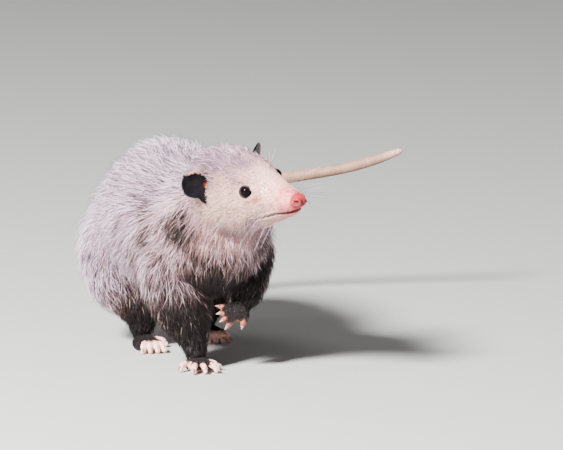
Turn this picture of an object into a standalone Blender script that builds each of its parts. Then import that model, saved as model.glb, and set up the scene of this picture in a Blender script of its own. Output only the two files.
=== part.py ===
"""A Virginia opossum in mid-step, life size, as a museum shows one.

It walks towards -Y with its left forefoot lifted, its head turned to its left (+X) and its tail
swung out to its left. Each named body part is one closed solid. Lengths are in metres; tables of
stations are in millimetres, measured in a walking frame whose origin is on the ground under the
middle of the trunk, and the finished model is moved so that its origin is under the middle of its box.
"""

import math
import random

import bmesh
import bpy
from mathutils import Matrix, Vector

MM = 0.001
GAP = 0.3 * MM
CUT_MARGIN, LOCK_MARGIN = 0.35 * MM, 0.6 * MM
UP = Vector((0, 0, 1))
FORWARD = Vector((0, -1, 0))
LEFT, RIGHT = 1, -1
CLAW_LENGTH = 6.0
EYE_RADIUS = 6.2

# Trunk: x, y, z, half width, height above and depth below the line, without the coat
TRUNK = [
    (4, 142, 103, 22, 22, 24),
    (3, 118, 107, 34, 36, 38),
    (2, 84, 111, 46, 49, 47),
    (0, 35, 116, 53, 56, 53),
    (-2, -15, 117, 54, 56, 54),
    (-3, -58, 121, 50, 51, 55),
    (-3, -92, 131, 44, 42, 54),
    (-1, -114, 147, 36, 35, 46),
    (1, -128, 160, 29, 27, 36),
]
TRUNK_RIDGE = 0.36
NECK_STARTS = 0.765
COAT_ON_BACK = 18.0
COAT_ON_BELLY = 15.0
COAT_ON_NECK = 9.0
CORE_SHARE = 0.44
LOCK_ROWS, LOCKS_ROUND = 8, 10
LOCK_LENGTH, LOCK_HALF_WIDTH, LOCK_FLATNESS = 54.0, 19.5, 0.26
LOCK_FALL = 0.42
LEG_LOCK_ROWS = ((0.32, 3), (0.55, 2))
LEG_LOCK_LENGTH, LEG_LOCK_HALF_WIDTH = 40.0, 16.0
LEG_COAT, LEG_LOCK_SUNK = 2.5, -3.5
LEG_LOCK_SPREAD = 0.8
LEG_MESH = (10, 11)

# Head: forward, left, up, half width, height above, depth below, in the head's own frame
HEAD_PLACE = Vector((1.0, -147.0, 171.6)) * MM
HEAD_TURN, HEAD_LIFT, HEAD_TILT = 20.6, 4.5, 19.0
HEAD = [
    (-34, 0, -3, 22, 22, 26),
    (-18, 0, 0, 33, 29, 37),
    (2, 0, 0, 37, 31, 41),
    (22, 0, -2, 32.5, 26, 38),
    (40, 0, -4, 23.5, 20, 34),
    (56, 0, -7, 17, 15.5, 27),
    (70, 0, -10, 13, 11.6, 19.5),
    (80, 0, -11.5, 10.6, 9, 14),
    (88, 0, -12, 8.6, 7.2, 9),
]
NOSE = [(84, 0, -11.8, 5.4, 5, 5.4), (90, 0, -11.4, 7.2, 6.2, 6.8), (95, 0, -11, 6.2, 5.2, 6)]
NOSTRIL = Vector((94.0, 5.4, -11.0))
EYE = Vector((42, 16.8, 2.8))
EYE_LOOKS = Vector((0.42, 0.88, 0.2))
LID_OPENING = (5.6, 4.9)
MOUTH = [(84.7, 2.9, -20), (78.4, 8.4, -20.4), (66.5, 11.4, -20.3), (54, 13.5, -22.4), (45, 15.8, -23.5),
         (37.5, 18.3, -24.7)]
# Ears: middle of the rim, the way the cup faces and the way from its root to its tip
RIGHT_EAR = (Vector((0.9, -38.2, 16.1)), Vector((0.78, -0.55, 0.29)), Vector((-0.535, -0.356, 0.765)))
LEFT_EAR = (Vector((-1.4, 35.9, 10.8)), Vector((0.781, 0.503, -0.371)), Vector((-0.455, 0.864, 0.216)))
EAR_RADIUS, EAR_CUP, EAR_WALL = 11.6, 4.0, 1.3

# Tail: x, y, z, radius, in the walking frame
TAIL = [
    (4, 132, 108, 13.5),
    (8, 162, 102, 11.5),
    (22, 190, 103, 9.4),
    (52, 208, 108, 7.6),
    (96, 212, 113, 6.4),
    (150, 205, 117.3, 5.7),
    (205, 188, 125.8, 4.9),
    (229.5, 178, 132.2, 4.8),
    (246, 170, 138.2, 4.2),
    (262.5, 159.2, 146, 2.9),
]
TAIL_CAP = (0.05, 0.02)
TAIL_CUTS = (0.0, 0.27, 0.52, 0.77, 1.0)

# Legs: x, y, z, half width across, half depth fore and aft
FORELEG_STANDING = [
    (-22, -76, 116, 20, 24),
    (-33, -80, 90, 23, 25),
    (-29, -84, 64, 22, 22),
    (-22.5, -90, 44, 17, 17),
    (-18, -96, 26, 10, 10),
    (-17, -99, 14, 7.5, 7.5),
    (-17, -101, 5.5, 5, 5),
]
FORELEG_LIFTED = [
    (29, -79, 120, 19, 23),
    (33, -88, 101, 18, 20),
    (31.5, -98, 84, 13.5, 15),
    (28, -106, 70, 10.5, 11.5),
    (23.5, -111, 60, 8, 8),
    (19, -113.5, 54.5, 5, 5),
]
HINDLEG_RIGHT = [
    (-24, 74, 104, 28, 36),
    (-35, 60, 80, 32, 39),
    (-38, 45, 60, 27, 32),
    (-32, 33, 43, 18, 19),
    (-28, 29, 27, 11, 11.5),
    (-28, 28, 15, 8, 8),
    (-28, 25, 6, 5.5, 5.5),
]
HINDLEG_LEFT = [
    (25, 92, 104, 28, 36),
    (38, 82, 80, 32, 38),
    (44, 68, 60, 26, 30),
    (44, 59, 43, 17, 18),
    (42, 60, 27, 11, 11.5),
    (42, 62, 15, 8, 8),
    (42, 60, 6, 5.5, 5.5),
]

# Paws: a place for the middle of the palm, the way the middle digit points and the palm's normal
FOREPAW_DIGITS = (-62, -30, -2, 27, 58)
HANGING_DIGITS = (-34, -14, 6, 28, 52)
HINDPAW_DIGITS = (-24, -8, 8, 24)
HALLUX_TURN = 72
SOLE_HEIGHT = 5.0

MATERIALS = {
    "coat": ((0.56, 0.53, 0.52), 0.85),
    "face": ((0.86, 0.79, 0.73), 0.8),
    "dark_fur": ((0.07, 0.055, 0.055), 0.85),
    "ear": ((0.03, 0.025, 0.03), 0.55),
    "nose": ((0.78, 0.4, 0.38), 0.4),
    "eye": ((0.01, 0.01, 0.012), 0.08),
    "paw": ((0.8, 0.5, 0.43), 0.5),
    "tail": ((0.62, 0.47, 0.38), 0.6),
}


def smooth(rows, at):
    """The row of numbers at a position along a table, on a curve through all its rows."""
    last = len(rows) - 1
    i = min(int(at), last - 1)
    u = at - i
    a, b = rows[i], rows[i + 1]
    before = rows[i - 1] if i > 0 else [2 * p - q for p, q in zip(a, b)]
    after = rows[i + 2] if i + 2 <= last else [2 * q - p for p, q in zip(a, b)]
    weights = (
        (-u + 2 * u * u - u ** 3) / 2,
        (2 - 5 * u * u + 3 * u ** 3) / 2,
        (u + 4 * u * u - 3 * u ** 3) / 2,
        (-u * u + u ** 3) / 2,
    )
    return [sum(w * v for w, v in zip(weights, column)) for column in zip(before, a, b, after)]


def along(rows, share):
    """smooth, by the share of the line's length from 0 to 1."""
    steps = [math.dist(p[:3], q[:3]) for p, q in zip(rows, rows[1:])]
    want = min(max(share, 0.0), 1.0) * sum(steps)
    for i, step in enumerate(steps):
        if want <= step or i == len(steps) - 1:
            return smooth(rows, i + min(want / step, 1.0))
        want -= step


class Form:
    """A rounded form swept along a table of stations: x, y, z, half width, and one or two heights."""

    def __init__(self, rows, place=None, reference=UP, cap=(0.08, 0.08), thicker=None, ridge=0.0):
        self.rows = rows
        self.place = place or Matrix.Identity(4)
        self.reference = reference
        self.cap = cap
        self.thicker = thicker
        self.ridge = ridge

    def centre(self, share):
        return Vector(along(self.rows, share)[:3])

    def axes(self, share):
        """Forward, side and up directions of the section at a share of the length."""
        step = 0.01
        forward = (self.centre(min(share + step, 1)) - self.centre(max(share - step, 0))).normalized()
        side = forward.cross(self.reference).normalized()
        return forward, side, side.cross(forward).normalized()

    def point(self, turn, angle, grow=0.0):
        """A surface point. turn goes from 0 at the start to 1 at the end, and angle round the section."""
        first, last = self.cap
        if turn < first:
            lean = turn / first * math.pi / 2
            share, closing, tip = first * (1 - math.cos(lean)), math.sin(lean), -math.cos(lean)
        elif turn > 1 - last:
            lean = (1 - turn) / last * math.pi / 2
            share, closing, tip = 1 - last * (1 - math.cos(lean)), math.sin(lean), math.cos(lean)
        else:
            share, closing, tip = turn, 1.0, 0.0
        row = along(self.rows, share)
        forward, side, up = self.axes(share)
        width, above = row[3], row[4] if len(row) > 4 else row[3]
        below = row[5] if len(row) > 5 else above
        coat = self.thicker(share, angle) if self.thicker else 0.0
        c, s = math.cos(angle), math.sin(angle)
        c *= 1 - self.ridge * max(s, 0.0)
        outward = side * c * (width + coat) + up * s * ((above if s > 0 else below) + coat)
        outward = outward * closing
        if closing > 1e-6:
            outward += outward.normalized() * closing * grow / MM
        place = Vector(row[:3]) + outward + forward * tip * grow / MM
        return self.place @ (place * MM)

    def normal(self, turn, angle):
        """The outward direction there."""
        step = 0.004
        a = self.point(min(turn + step, 1), angle) - self.point(max(turn - step, 0), angle)
        b = self.point(turn, angle + step) - self.point(turn, angle - step)
        return a.cross(b).normalized()


def object_of(name, bm, material=None):
    """The bmesh as a named object in the scene."""
    bm.normal_update()
    if bm.calc_volume(signed=True) < 0:
        bmesh.ops.reverse_faces(bm, faces=bm.faces)
    mesh = bpy.data.meshes.new(name)
    bm.to_mesh(mesh)
    bm.free()
    obj = bpy.data.objects.new(name, mesh)
    bpy.context.scene.collection.objects.link(obj)
    if material:
        mesh.materials.append(bpy.data.materials[material])
    return obj


def sweep(name, form, sides, rings, grow=0.0, material=None):
    """A ball whose rings are moved onto the form, as one closed object."""
    bm = bmesh.new()
    bmesh.ops.create_uvsphere(bm, u_segments=sides, v_segments=rings, radius=1)
    for vert in bm.verts:
        turn = 1 - math.acos(max(-1, min(1, vert.co.z))) / math.pi
        vert.co = form.point(turn, math.atan2(vert.co.y, vert.co.x), grow)
    bmesh.ops.triangulate(bm, faces=bm.faces, quad_method="FIXED")
    return object_of(name, bm, material)


def apply_all(obj):
    """Makes the modifiers' result the object's own mesh."""
    graph = bpy.context.evaluated_depsgraph_get()
    mesh = bpy.data.meshes.new_from_object(obj.evaluated_get(graph))
    obj.modifiers.clear()
    obj.data = mesh


def remove(objects):
    for obj in list(objects):
        bpy.data.objects.remove(obj)


def join(obj, pieces, solver="EXACT"):
    """Joins the pieces to the object by one Boolean union and removes them."""
    group = bpy.data.collections.new("pieces_of_" + obj.name)
    bpy.context.scene.collection.children.link(group)
    for piece in pieces:
        bpy.context.scene.collection.objects.unlink(piece)
        group.objects.link(piece)
    union = obj.modifiers.new("join", "BOOLEAN")
    union.operation, union.operand_type, union.collection = "UNION", "COLLECTION", group
    union.solver = solver
    apply_all(obj)
    remove(group.objects)
    bpy.data.collections.remove(group)
    keep_largest(obj)


def cut(obj, cutters, solver="MANIFOLD"):
    """Cuts the object by each cutter in turn and removes the cutters."""
    for cutter in cutters:
        difference = obj.modifiers.new("cut", "BOOLEAN")
        difference.operation, difference.object, difference.solver = "DIFFERENCE", cutter, solver
        apply_all(obj)
    remove(cutters)
    keep_largest(obj)


def keep_largest(obj):
    """Leaves only the closed surface that holds the most."""
    bm = bmesh.new()
    bm.from_mesh(obj.data)
    left, islands = set(bm.verts), []
    while left:
        found, edge = set(), [left.pop()]
        while edge:
            vert = edge.pop()
            found.add(vert)
            near = {e.other_vert(vert) for e in vert.link_edges} & left
            left -= near
            edge += near
        islands.append(found)
    islands.sort(key=lambda verts: len(verts) and max(v.co.z for v in verts) - min(v.co.z for v in verts))
    for island in islands[:-1]:
        bmesh.ops.delete(bm, geom=list(island), context="VERTS")
    bmesh.ops.triangulate(bm, faces=bm.faces)
    bm.to_mesh(obj.data)
    bm.free()


def half_space(name, point, normal, size=0.6):
    """A box that fills everything beyond a plane."""
    bm = bmesh.new()
    turn = Vector(normal).to_track_quat("Z", "Y").to_matrix().to_4x4()
    matrix = Matrix.Translation(point) @ turn @ Matrix.Translation((0, 0, size / 2))
    bmesh.ops.create_cube(bm, size=size, matrix=matrix)
    return object_of(name, bm)


def head_place():
    """The head's own frame: +X forward, +Y left and +Z up, turned, lifted and tilted."""
    facing = Matrix.Rotation(math.radians(HEAD_TURN - 90), 4, "Z")
    lifted = Matrix.Rotation(math.radians(-HEAD_LIFT), 4, "Y")
    tilted = Matrix.Rotation(math.radians(HEAD_TILT), 4, "X")
    return Matrix.Translation(HEAD_PLACE) @ facing @ lifted @ tilted


def coat_depth(share, angle):
    """How far the coat's tips stand off the skin of the trunk, in mm."""
    upper = (math.sin(angle) + 1) / 2
    depth = COAT_ON_BELLY + (COAT_ON_BACK - COAT_ON_BELLY) * min(1.0, upper * 1.5)
    to_neck = min(max((share - 0.62) / 0.3, 0), 1)
    return depth + (COAT_ON_NECK - depth) * to_neck


def trunk_form(share_of_coat):
    return Form(TRUNK, thicker=lambda share, angle: coat_depth(share, angle) * share_of_coat,
                ridge=TRUNK_RIDGE, cap=(0.16, 0.08))


def head_form():
    return Form(HEAD, place=head_place(), cap=(0.12, 0.06))


def lock(line, half_width, flatness, grow=0.0):
    """A flat, tapered, bent lock. line gives its middle, its side and its outward direction by share."""
    bm = bmesh.new()
    bmesh.ops.create_uvsphere(bm, u_segments=4, v_segments=4, radius=1)
    for vert in bm.verts:
        s = (vert.co.z + 1) / 2
        middle, side, out = line(s)
        spread = math.hypot(vert.co.x, vert.co.y)
        wide = half_width * math.sin(math.pi * min(0.94, 0.16 + 0.78 * s)) if spread > 0.01 else 0.0
        wide = wide + grow / MM if spread > 0.01 else 0.0
        offset = side * vert.co.x / max(spread, 0.01) * wide
        offset += out * vert.co.y / max(spread, 0.01) * (wide * flatness + grow / MM)
        ends = (line(min(s + 0.02, 1))[0] - line(max(s - 0.02, 0))[0]).normalized() * grow / MM
        vert.co = (middle + offset + ends * vert.co.z) * MM
    bmesh.ops.triangulate(bm, faces=bm.faces, quad_method="FIXED")
    return object_of("lock", bm)


def coat_line(start, angle, length, fall, reach, low=0.12):
    """The middle line of a lock of the trunk's coat, which lies towards the tail and falls to the side."""
    whole = sum(math.dist(p[:3], q[:3]) for p, q in zip(TRUNK, TRUNK[1:]))

    def line(s):
        turn = start - s * length / whole
        at = angle - fall * math.cos(angle) * s
        lift = low + (reach - low) * s ** 0.8
        form = trunk_form(lift)
        here = form.point(turn, at) / MM
        out = form.normal(turn, at)
        along_lie = (form.point(turn - 0.01, at) - form.point(turn + 0.01, at)).normalized()
        return here, along_lie.cross(out).normalized(), out

    return line


def trunk_locks():
    """Locks in staggered rows from the neck to the rump, each a little unlike the next."""
    locks = []
    for row in range(LOCK_ROWS):
        start = 0.95 - 0.72 * row / (LOCK_ROWS - 1)
        for i in range(LOCKS_ROUND):
            angle = math.tau * (i + 0.5 * (row % 2) + random.uniform(-0.12, 0.12)) / LOCKS_ROUND
            length = LOCK_LENGTH * random.uniform(0.85, 1.1) * (0.72 if row < 3 else 1.0)
            width = LOCK_HALF_WIDTH * random.uniform(0.85, 1.1) * (0.72 if row < 3 else 1.0)
            fall = LOCK_FALL * random.uniform(0.6, 1.3)
            begin = start + random.uniform(-0.015, 0.015)
            locks.append(lock(coat_line(begin, angle, length, fall, random.uniform(0.9, 1.0)), width,
                              LOCK_FLATNESS))
    return locks


def build_trunk():
    """The torso and the neck with their coat, modelled whole and parted by a thin cut."""
    form = trunk_form(CORE_SHARE)
    torso = sweep("torso", form, 16, 14, material="coat")
    join(torso, trunk_locks(), "MANIFOLD")
    neck = bpy.data.objects.new("neck", torso.data.copy())
    bpy.context.scene.collection.objects.link(neck)
    forward = form.axes(NECK_STARTS)[0]
    middle = form.centre(NECK_STARTS) * MM
    cut(torso, [half_space("front", middle, forward)])
    cut(neck, [half_space("rear", middle + forward * GAP, -forward)])
    return torso, neck


def tube(name, points, radius, sides=5):
    """A closed round tube of even radius along the points."""
    rows = [(*(p / MM), radius) for p in points]
    return sweep(name, Form(rows, cap=(0.05, 0.05)), sides, 2 * len(points) + 4)


def mirrored(point, side):
    return Vector((point.x, point.y * side, point.z))


def build_head():
    """The head with its lids, eye hollows and mouth line, and the nose with its nostrils."""
    place = head_place()
    head = sweep("head", head_form(), 20, 18, material="face")
    lids, hollows = [], []
    for side in (LEFT, RIGHT):
        looks = mirrored(EYE_LOOKS, side).normalized()
        turn = looks.to_track_quat("Z", "Y").to_matrix().to_4x4()
        eye = place @ Matrix.Translation(mirrored(EYE, side) * MM)
        lids.append(lid_ring(eye @ turn))
        bm = bmesh.new()
        bmesh.ops.create_uvsphere(bm, u_segments=12, v_segments=8, radius=EYE_RADIUS * MM + GAP,
                                  matrix=eye @ turn)
        hollows.append(object_of("hollow", bm))
    join(head, lids)
    cut(head, hollows)
    lip = [mirrored(Vector(p), LEFT) for p in reversed(MOUTH)] + [mirrored(Vector(p), RIGHT) for p in MOUTH]
    cut(head, [tube("mouth", [place @ (p * MM) for p in lip], 0.9)])
    nose = sweep("nose", Form(NOSE, place=place, cap=(0.4, 0.4)), 10, 7, material="nose")
    nostrils = []
    for side in (LEFT, RIGHT):
        deep = mirrored(NOSTRIL + Vector((-4, -2.4, 0)), side)
        rim = mirrored(NOSTRIL + Vector((2.2, 1.4, 0.2)), side)
        back = mirrored(NOSTRIL + Vector((-1.0, 3.0, 1.0)), side)
        nostrils.append(tube("nostril", [place @ (p * MM) for p in (deep, rim, back)], 1.25, 6))
    cut(nose, nostrils)
    cut(head, [sweep("nose_seat", Form(NOSE, place=place, cap=(0.4, 0.4)), 10, 7, grow=GAP)])
    return head, nose


def lid_ring(frame):
    """The rim of the lids round one eye, as a closed ring."""
    bm = bmesh.new()
    wide, high = LID_OPENING
    bmesh.ops.create_circle(bm, segments=5, radius=1.3 * MM)
    bmesh.ops.rotate(bm, verts=bm.verts, cent=(0, 0, 0), matrix=Matrix.Rotation(math.pi / 2, 3, "X"))
    bmesh.ops.translate(bm, verts=bm.verts, vec=((wide + 0.6) * MM, 0, 3.1 * MM))
    bmesh.ops.spin(bm, geom=bm.verts[:] + bm.edges[:], cent=(0, 0, 0), axis=(0, 0, 1),
                   angle=math.tau, steps=12, use_merge=True)
    bmesh.ops.remove_doubles(bm, verts=bm.verts, dist=0.00001)
    bmesh.ops.scale(bm, verts=bm.verts, vec=(1, high / wide, 1))
    bmesh.ops.transform(bm, verts=bm.verts, matrix=frame)
    return object_of("lid", bm)


def build_eyes():
    eyes = []
    for side, name in ((LEFT, "eye_left"), (RIGHT, "eye_right")):
        bm = bmesh.new()
        turn = mirrored(EYE_LOOKS, side).normalized().to_track_quat("Z", "Y").to_matrix().to_4x4()
        frame = head_place() @ Matrix.Translation(mirrored(EYE, side) * MM) @ turn
        bmesh.ops.create_uvsphere(bm, u_segments=12, v_segments=8, radius=EYE_RADIUS * MM, matrix=frame)
        eyes.append(object_of(name, bm, "eye"))
    return eyes


def build_ear(name, side):
    """A round shallow cup with a pointed lobe at its lower front, on a stalk sunk in the head."""
    middle, faces, axis = LEFT_EAR if side == LEFT else RIGHT_EAR
    faces = faces.normalized()
    axis = (axis - faces * axis.dot(faces)).normalized()
    across = faces.cross(axis) * -side
    bm = bmesh.new()
    bmesh.ops.create_uvsphere(bm, u_segments=18, v_segments=7, radius=1)
    for vert in bm.verts:
        turn = math.atan2(vert.co.y, vert.co.x)
        spread = min(1.0, math.acos(min(1.0, abs(vert.co.z))) / math.radians(77))
        lobe = max(0.0, 1 - abs(turn - math.radians(154)) / math.radians(24))
        reach = spread * (EAR_RADIUS + 0.9 * max(0.0, math.cos(turn)) + 4.0 * lobe)
        wall = math.copysign(EAR_WALL / 2, vert.co.z)
        vert.co = (middle + axis * math.cos(turn) * reach + across * math.sin(turn) * reach
                   + faces * (wall - EAR_CUP * (1 - spread ** 2))) * MM
    bmesh.ops.triangulate(bm, faces=bm.faces)
    bmesh.ops.transform(bm, verts=bm.verts, matrix=head_place())
    ear = object_of(name, bm, "ear")
    rows = [(*(middle - faces * back - axis * down), radius, radius)
            for back, down, radius in ((15, 3, 7), (9, 3.5, 7), (3.6, 4, 5.5))]
    stalk = sweep("stalk", Form(rows, place=head_place(), cap=(0.3, 0.3)), 8, 6)
    join(ear, [stalk])
    cut(ear, [sweep("head_seat", head_form(), 20, 18, grow=GAP)])
    return ear


def build_tail():
    """The tail in four lengths that meet face to face."""
    lengths = []
    for i, (start, end) in enumerate(zip(TAIL_CUTS, TAIL_CUTS[1:])):
        form = Form(TAIL, cap=TAIL_CAP)
        piece = sweep(f"tail_{i + 1}", form, 10, 26, material="tail")
        cutters = []
        if start > 0:
            forward = form.axes(start)[0]
            cutters.append(half_space("near", form.centre(start) * MM + forward * GAP, -forward))
        if end < 1:
            forward = form.axes(end)[0]
            cutters.append(half_space("far", form.centre(end) * MM, forward))
        cut(piece, cutters)
        lengths.append(piece)
    return lengths


def leg_form(rows):
    return Form(rows, reference=FORWARD, cap=(0.1, 0.08))


def leg_locks(rows, side, grow=0.0):
    """Locks on the outer, front and rear sides of a leg's upper half, lying down along it."""
    form = leg_form(rows)
    whole = sum(math.dist(p[:3], q[:3]) for p, q in zip(rows, rows[1:]))
    draw = random.Random(len(rows) + int(rows[0][1]))
    locks = []
    for row, (start, count) in enumerate(LEG_LOCK_ROWS):
        for i in range(count):
            spread = (i - (count - 1) / 2) * LEG_LOCK_SPREAD
            angle = (0.0 if side == RIGHT else math.pi) + spread
            length = LEG_LOCK_LENGTH * draw.uniform(0.85, 1.1)
            width = LEG_LOCK_HALF_WIDTH * draw.uniform(0.85, 1.1)

            share = min(length / whole, 0.94 - start)

            def line(s, start=start, angle=angle, share=share):
                turn = start + s * share
                out = form.normal(turn, angle)
                ahead = (form.point(turn + 0.01, angle) - form.point(turn - 0.01, angle)).normalized()
                rise = LEG_LOCK_SUNK + (LEG_COAT - LEG_LOCK_SUNK) * s
                return form.point(turn, angle) / MM + out * rise, ahead.cross(out).normalized(), out

            locks.append(lock(line, width, LOCK_FLATNESS, grow))
    return locks


def digit_rows(root, way, up, length, radius):
    """Stations of one digit: it rises to its knuckle and comes down to its tip."""
    reach = ((0.0, 0.0, 1.15), (0.35, 0.16, 1.0), (0.7, 0.1, 0.9), (1.0, -0.08, 0.78))
    return [(*(root + way * length * f + up * length * h), radius * r) for f, h, r in reach]


def build_paw(name, palm, way, up, digits, sizes, inner_digit=None):
    """A palm with its digits and claws. A standing one is cut flat at the ground."""
    way, up = Vector(way).normalized(), Vector(up).normalized()
    palm = Vector(palm)
    half_width, half_height, half_length, length, radius = sizes
    rows = [
        (*(palm - way * half_length), half_width * 0.8, half_height),
        (*palm, half_width, half_height),
        (*(palm + way * half_length), half_width * 0.92, half_height * 0.85),
    ]
    paw = sweep(name, Form(rows, reference=up, cap=(0.3, 0.3)), 10, 6, material="paw")
    pieces = []
    turns = [(turn, 1.0, True) for turn in digits]
    if inner_digit is not None:
        turns.append((inner_digit, 0.95, False))
    for turn, share, clawed in turns:
        aim = Matrix.Rotation(math.radians(turn), 3, up) @ way
        sideways = up.cross(way) * math.sin(math.radians(turn)) * half_width * 0.75
        behind = -way * half_length * 0.5 if abs(turn) > 50 else way * half_length * 0.55
        root = palm + sideways + behind
        reach = length * share * (1.0 if abs(turn) < 40 else 0.86)
        rows = digit_rows(root, aim, up, reach, radius)
        pieces.append(sweep("digit", Form(rows, reference=up, cap=(0.12, 0.2)), 5, 5))
        if clawed:
            tip = Vector(rows[-1][:3])
            claw = [(*(tip - aim * 3 + up * 0.8), 1.3), (*(tip + aim * 1.5 + up * 0.9), 1.1),
                    (*(tip + aim * CLAW_LENGTH * 0.75 - up * 1.6), 0.45)]
            pieces.append(sweep("claw", Form(claw, reference=up, cap=(0.1, 0.3)), 4, 3))
    join(paw, pieces)
    if up.z > 0.9:
        cut(paw, [half_space("ground", Vector((0, 0, 0)), -UP)])
    return paw


def build_legs_and_paws():
    """Each leg and its paw. A paw is cut clear of the leg that it hangs from."""
    forepaw, hindpaw = (9.5, 6.4, 8.5, 15.5, 2.9), (10, 7, 17, 17, 3.3)
    hanging = (9, 6.2, 8, 12, 2.9)
    paws = (
        ("right_forepaw", (-17, -106, SOLE_HEIGHT), (0.05, -1, 0), UP, FOREPAW_DIGITS, forepaw, None),
        ("left_forepaw", (17.5, -115, 53.5), (-0.88, 0.25, -0.4), (-0.3, -0.93, 0.2), HANGING_DIGITS, hanging, None),
        ("right_hindpaw", (-28, 16, SOLE_HEIGHT), (0.0, -1, 0), UP, HINDPAW_DIGITS, hindpaw, HALLUX_TURN),
        ("left_hindpaw", (42, 49, SOLE_HEIGHT), (0.05, -1, 0), UP, HINDPAW_DIGITS, hindpaw, -HALLUX_TURN),
    )
    legs = {
        "right_forepaw": ("right_foreleg", FORELEG_STANDING),
        "left_forepaw": ("left_foreleg", FORELEG_LIFTED),
        "right_hindpaw": ("right_hindleg", HINDLEG_RIGHT),
        "left_hindpaw": ("left_hindleg", HINDLEG_LEFT),
    }
    made = []
    for name, palm, way, up, digits, sizes, hallux in paws:
        paw = build_paw(name, palm, way, up, digits, sizes, hallux)
        leg_name, rows = legs[name]
        side = RIGHT if name.startswith("right") else LEFT
        leg = sweep(leg_name, leg_form(rows), *LEG_MESH, material="dark_fur")
        join(leg, leg_locks(rows, side), "MANIFOLD")
        cut(paw, [sweep("leg_seat", leg_form(rows), *LEG_MESH, grow=CUT_MARGIN)])
        made += [leg, paw]
    return made


def make_materials():
    for name, (colour, roughness) in MATERIALS.items():
        material = bpy.data.materials.new(name)
        material.use_nodes = True
        shader = material.node_tree.nodes["Principled BSDF"]
        shader.inputs["Base Color"].default_value = (*colour, 1)
        shader.inputs["Roughness"].default_value = roughness


def centre_on_ground(objects):
    """Moves the whole model so that its origin lies on the ground under the middle of its box."""
    points = [v.co for obj in objects for v in obj.data.vertices]
    low = Vector([min(p[i] for p in points) for i in range(3)])
    high = Vector([max(p[i] for p in points) for i in range(3)])
    shift = Vector((-(low.x + high.x) / 2, -(low.y + high.y) / 2, -low.z))
    for obj in objects:
        obj.data.transform(Matrix.Translation(shift))


def main():
    random.seed(7)
    for obj in list(bpy.data.objects):
        bpy.data.objects.remove(obj)
    make_materials()
    torso, neck = build_trunk()
    head, nose = build_head()
    cut(neck, [sweep("head_seat", head_form(), 20, 18, grow=CUT_MARGIN)])
    eyes = build_eyes()
    ears = [build_ear("left_ear", LEFT), build_ear("right_ear", RIGHT)]
    tail = build_tail()
    cut(torso, [sweep("tail_seat", Form(TAIL, cap=TAIL_CAP), 10, 26, grow=CUT_MARGIN)])
    limbs = build_legs_and_paws()
    for rows, side in ((FORELEG_STANDING, RIGHT), (FORELEG_LIFTED, LEFT), (HINDLEG_RIGHT, RIGHT),
                       (HINDLEG_LEFT, LEFT)):
        for body in (torso, neck):
            seat = sweep("leg_seat", leg_form(rows), *LEG_MESH, grow=CUT_MARGIN)
            join(seat, leg_locks(rows, side, LOCK_MARGIN), "MANIFOLD")
            cut(body, [seat])
    centre_on_ground([torso, neck, head, nose, *eyes, *ears, *tail, *limbs])


main()
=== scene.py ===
"""The looks of a life-size opossum in mid-step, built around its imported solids.

One skin replaces the body's solids. A coat of thin solid hairs follows its lie, and the eyes, ears,
feet, claws, tail and whiskers are pieces of their own. Tables of stations are in millimetres, in the
walking frame that the solids were drawn in. A finished mesh is in metres, in the frame of the part.
"""

import math

import bmesh
import bpy
import numpy as np
from mathutils import Matrix, Vector
from mathutils.bvhtree import BVHTree
from mathutils.kdtree import KDTree


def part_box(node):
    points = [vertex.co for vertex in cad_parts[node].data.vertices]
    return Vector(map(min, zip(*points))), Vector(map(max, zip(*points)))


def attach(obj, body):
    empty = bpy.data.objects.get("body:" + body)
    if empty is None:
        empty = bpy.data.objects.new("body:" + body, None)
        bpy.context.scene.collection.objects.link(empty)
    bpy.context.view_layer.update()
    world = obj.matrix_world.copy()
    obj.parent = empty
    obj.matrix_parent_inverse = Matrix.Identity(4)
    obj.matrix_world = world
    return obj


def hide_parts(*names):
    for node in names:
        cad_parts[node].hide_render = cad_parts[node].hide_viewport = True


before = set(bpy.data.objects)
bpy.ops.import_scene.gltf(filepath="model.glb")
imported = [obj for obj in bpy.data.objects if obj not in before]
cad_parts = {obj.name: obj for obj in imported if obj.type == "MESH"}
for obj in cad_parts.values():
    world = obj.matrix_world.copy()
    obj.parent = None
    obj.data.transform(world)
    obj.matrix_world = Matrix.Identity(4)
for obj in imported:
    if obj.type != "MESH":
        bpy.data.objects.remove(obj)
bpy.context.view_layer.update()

bl_info = {
    "name": "Opossum",
    "version": (1, 0, 0),
    "blender": (4, 5, 0),
    "location": "3D View > Sidebar > Opossum",
    "description": "Builds the skin, coat, head, feet and tail of a life-size opossum",
    "category": "Add Mesh",
}

MM = 0.001
UP, FORWARD = (0.0, 0.0, 1.0), (0.0, -1.0, 0.0)
LEFT, RIGHT = 1, -1
SIDES = (("left", LEFT), ("right", RIGHT))

# Trunk: x, y, z, half width, height above and depth below the line, without the coat
TRUNK = [
    (4, 142, 103, 22, 22, 24), (3, 118, 107, 34, 36, 38), (2, 84, 111, 46, 49, 47),
    (0, 35, 116, 53, 56, 53), (-2, -15, 117, 54, 56, 54), (-3, -58, 121, 50, 51, 55),
    (-3, -92, 131, 44, 42, 54), (-1, -114, 147, 36, 35, 46), (1, -128, 160, 29, 27, 36),
]
TRUNK_RIDGE = 0.36

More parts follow.
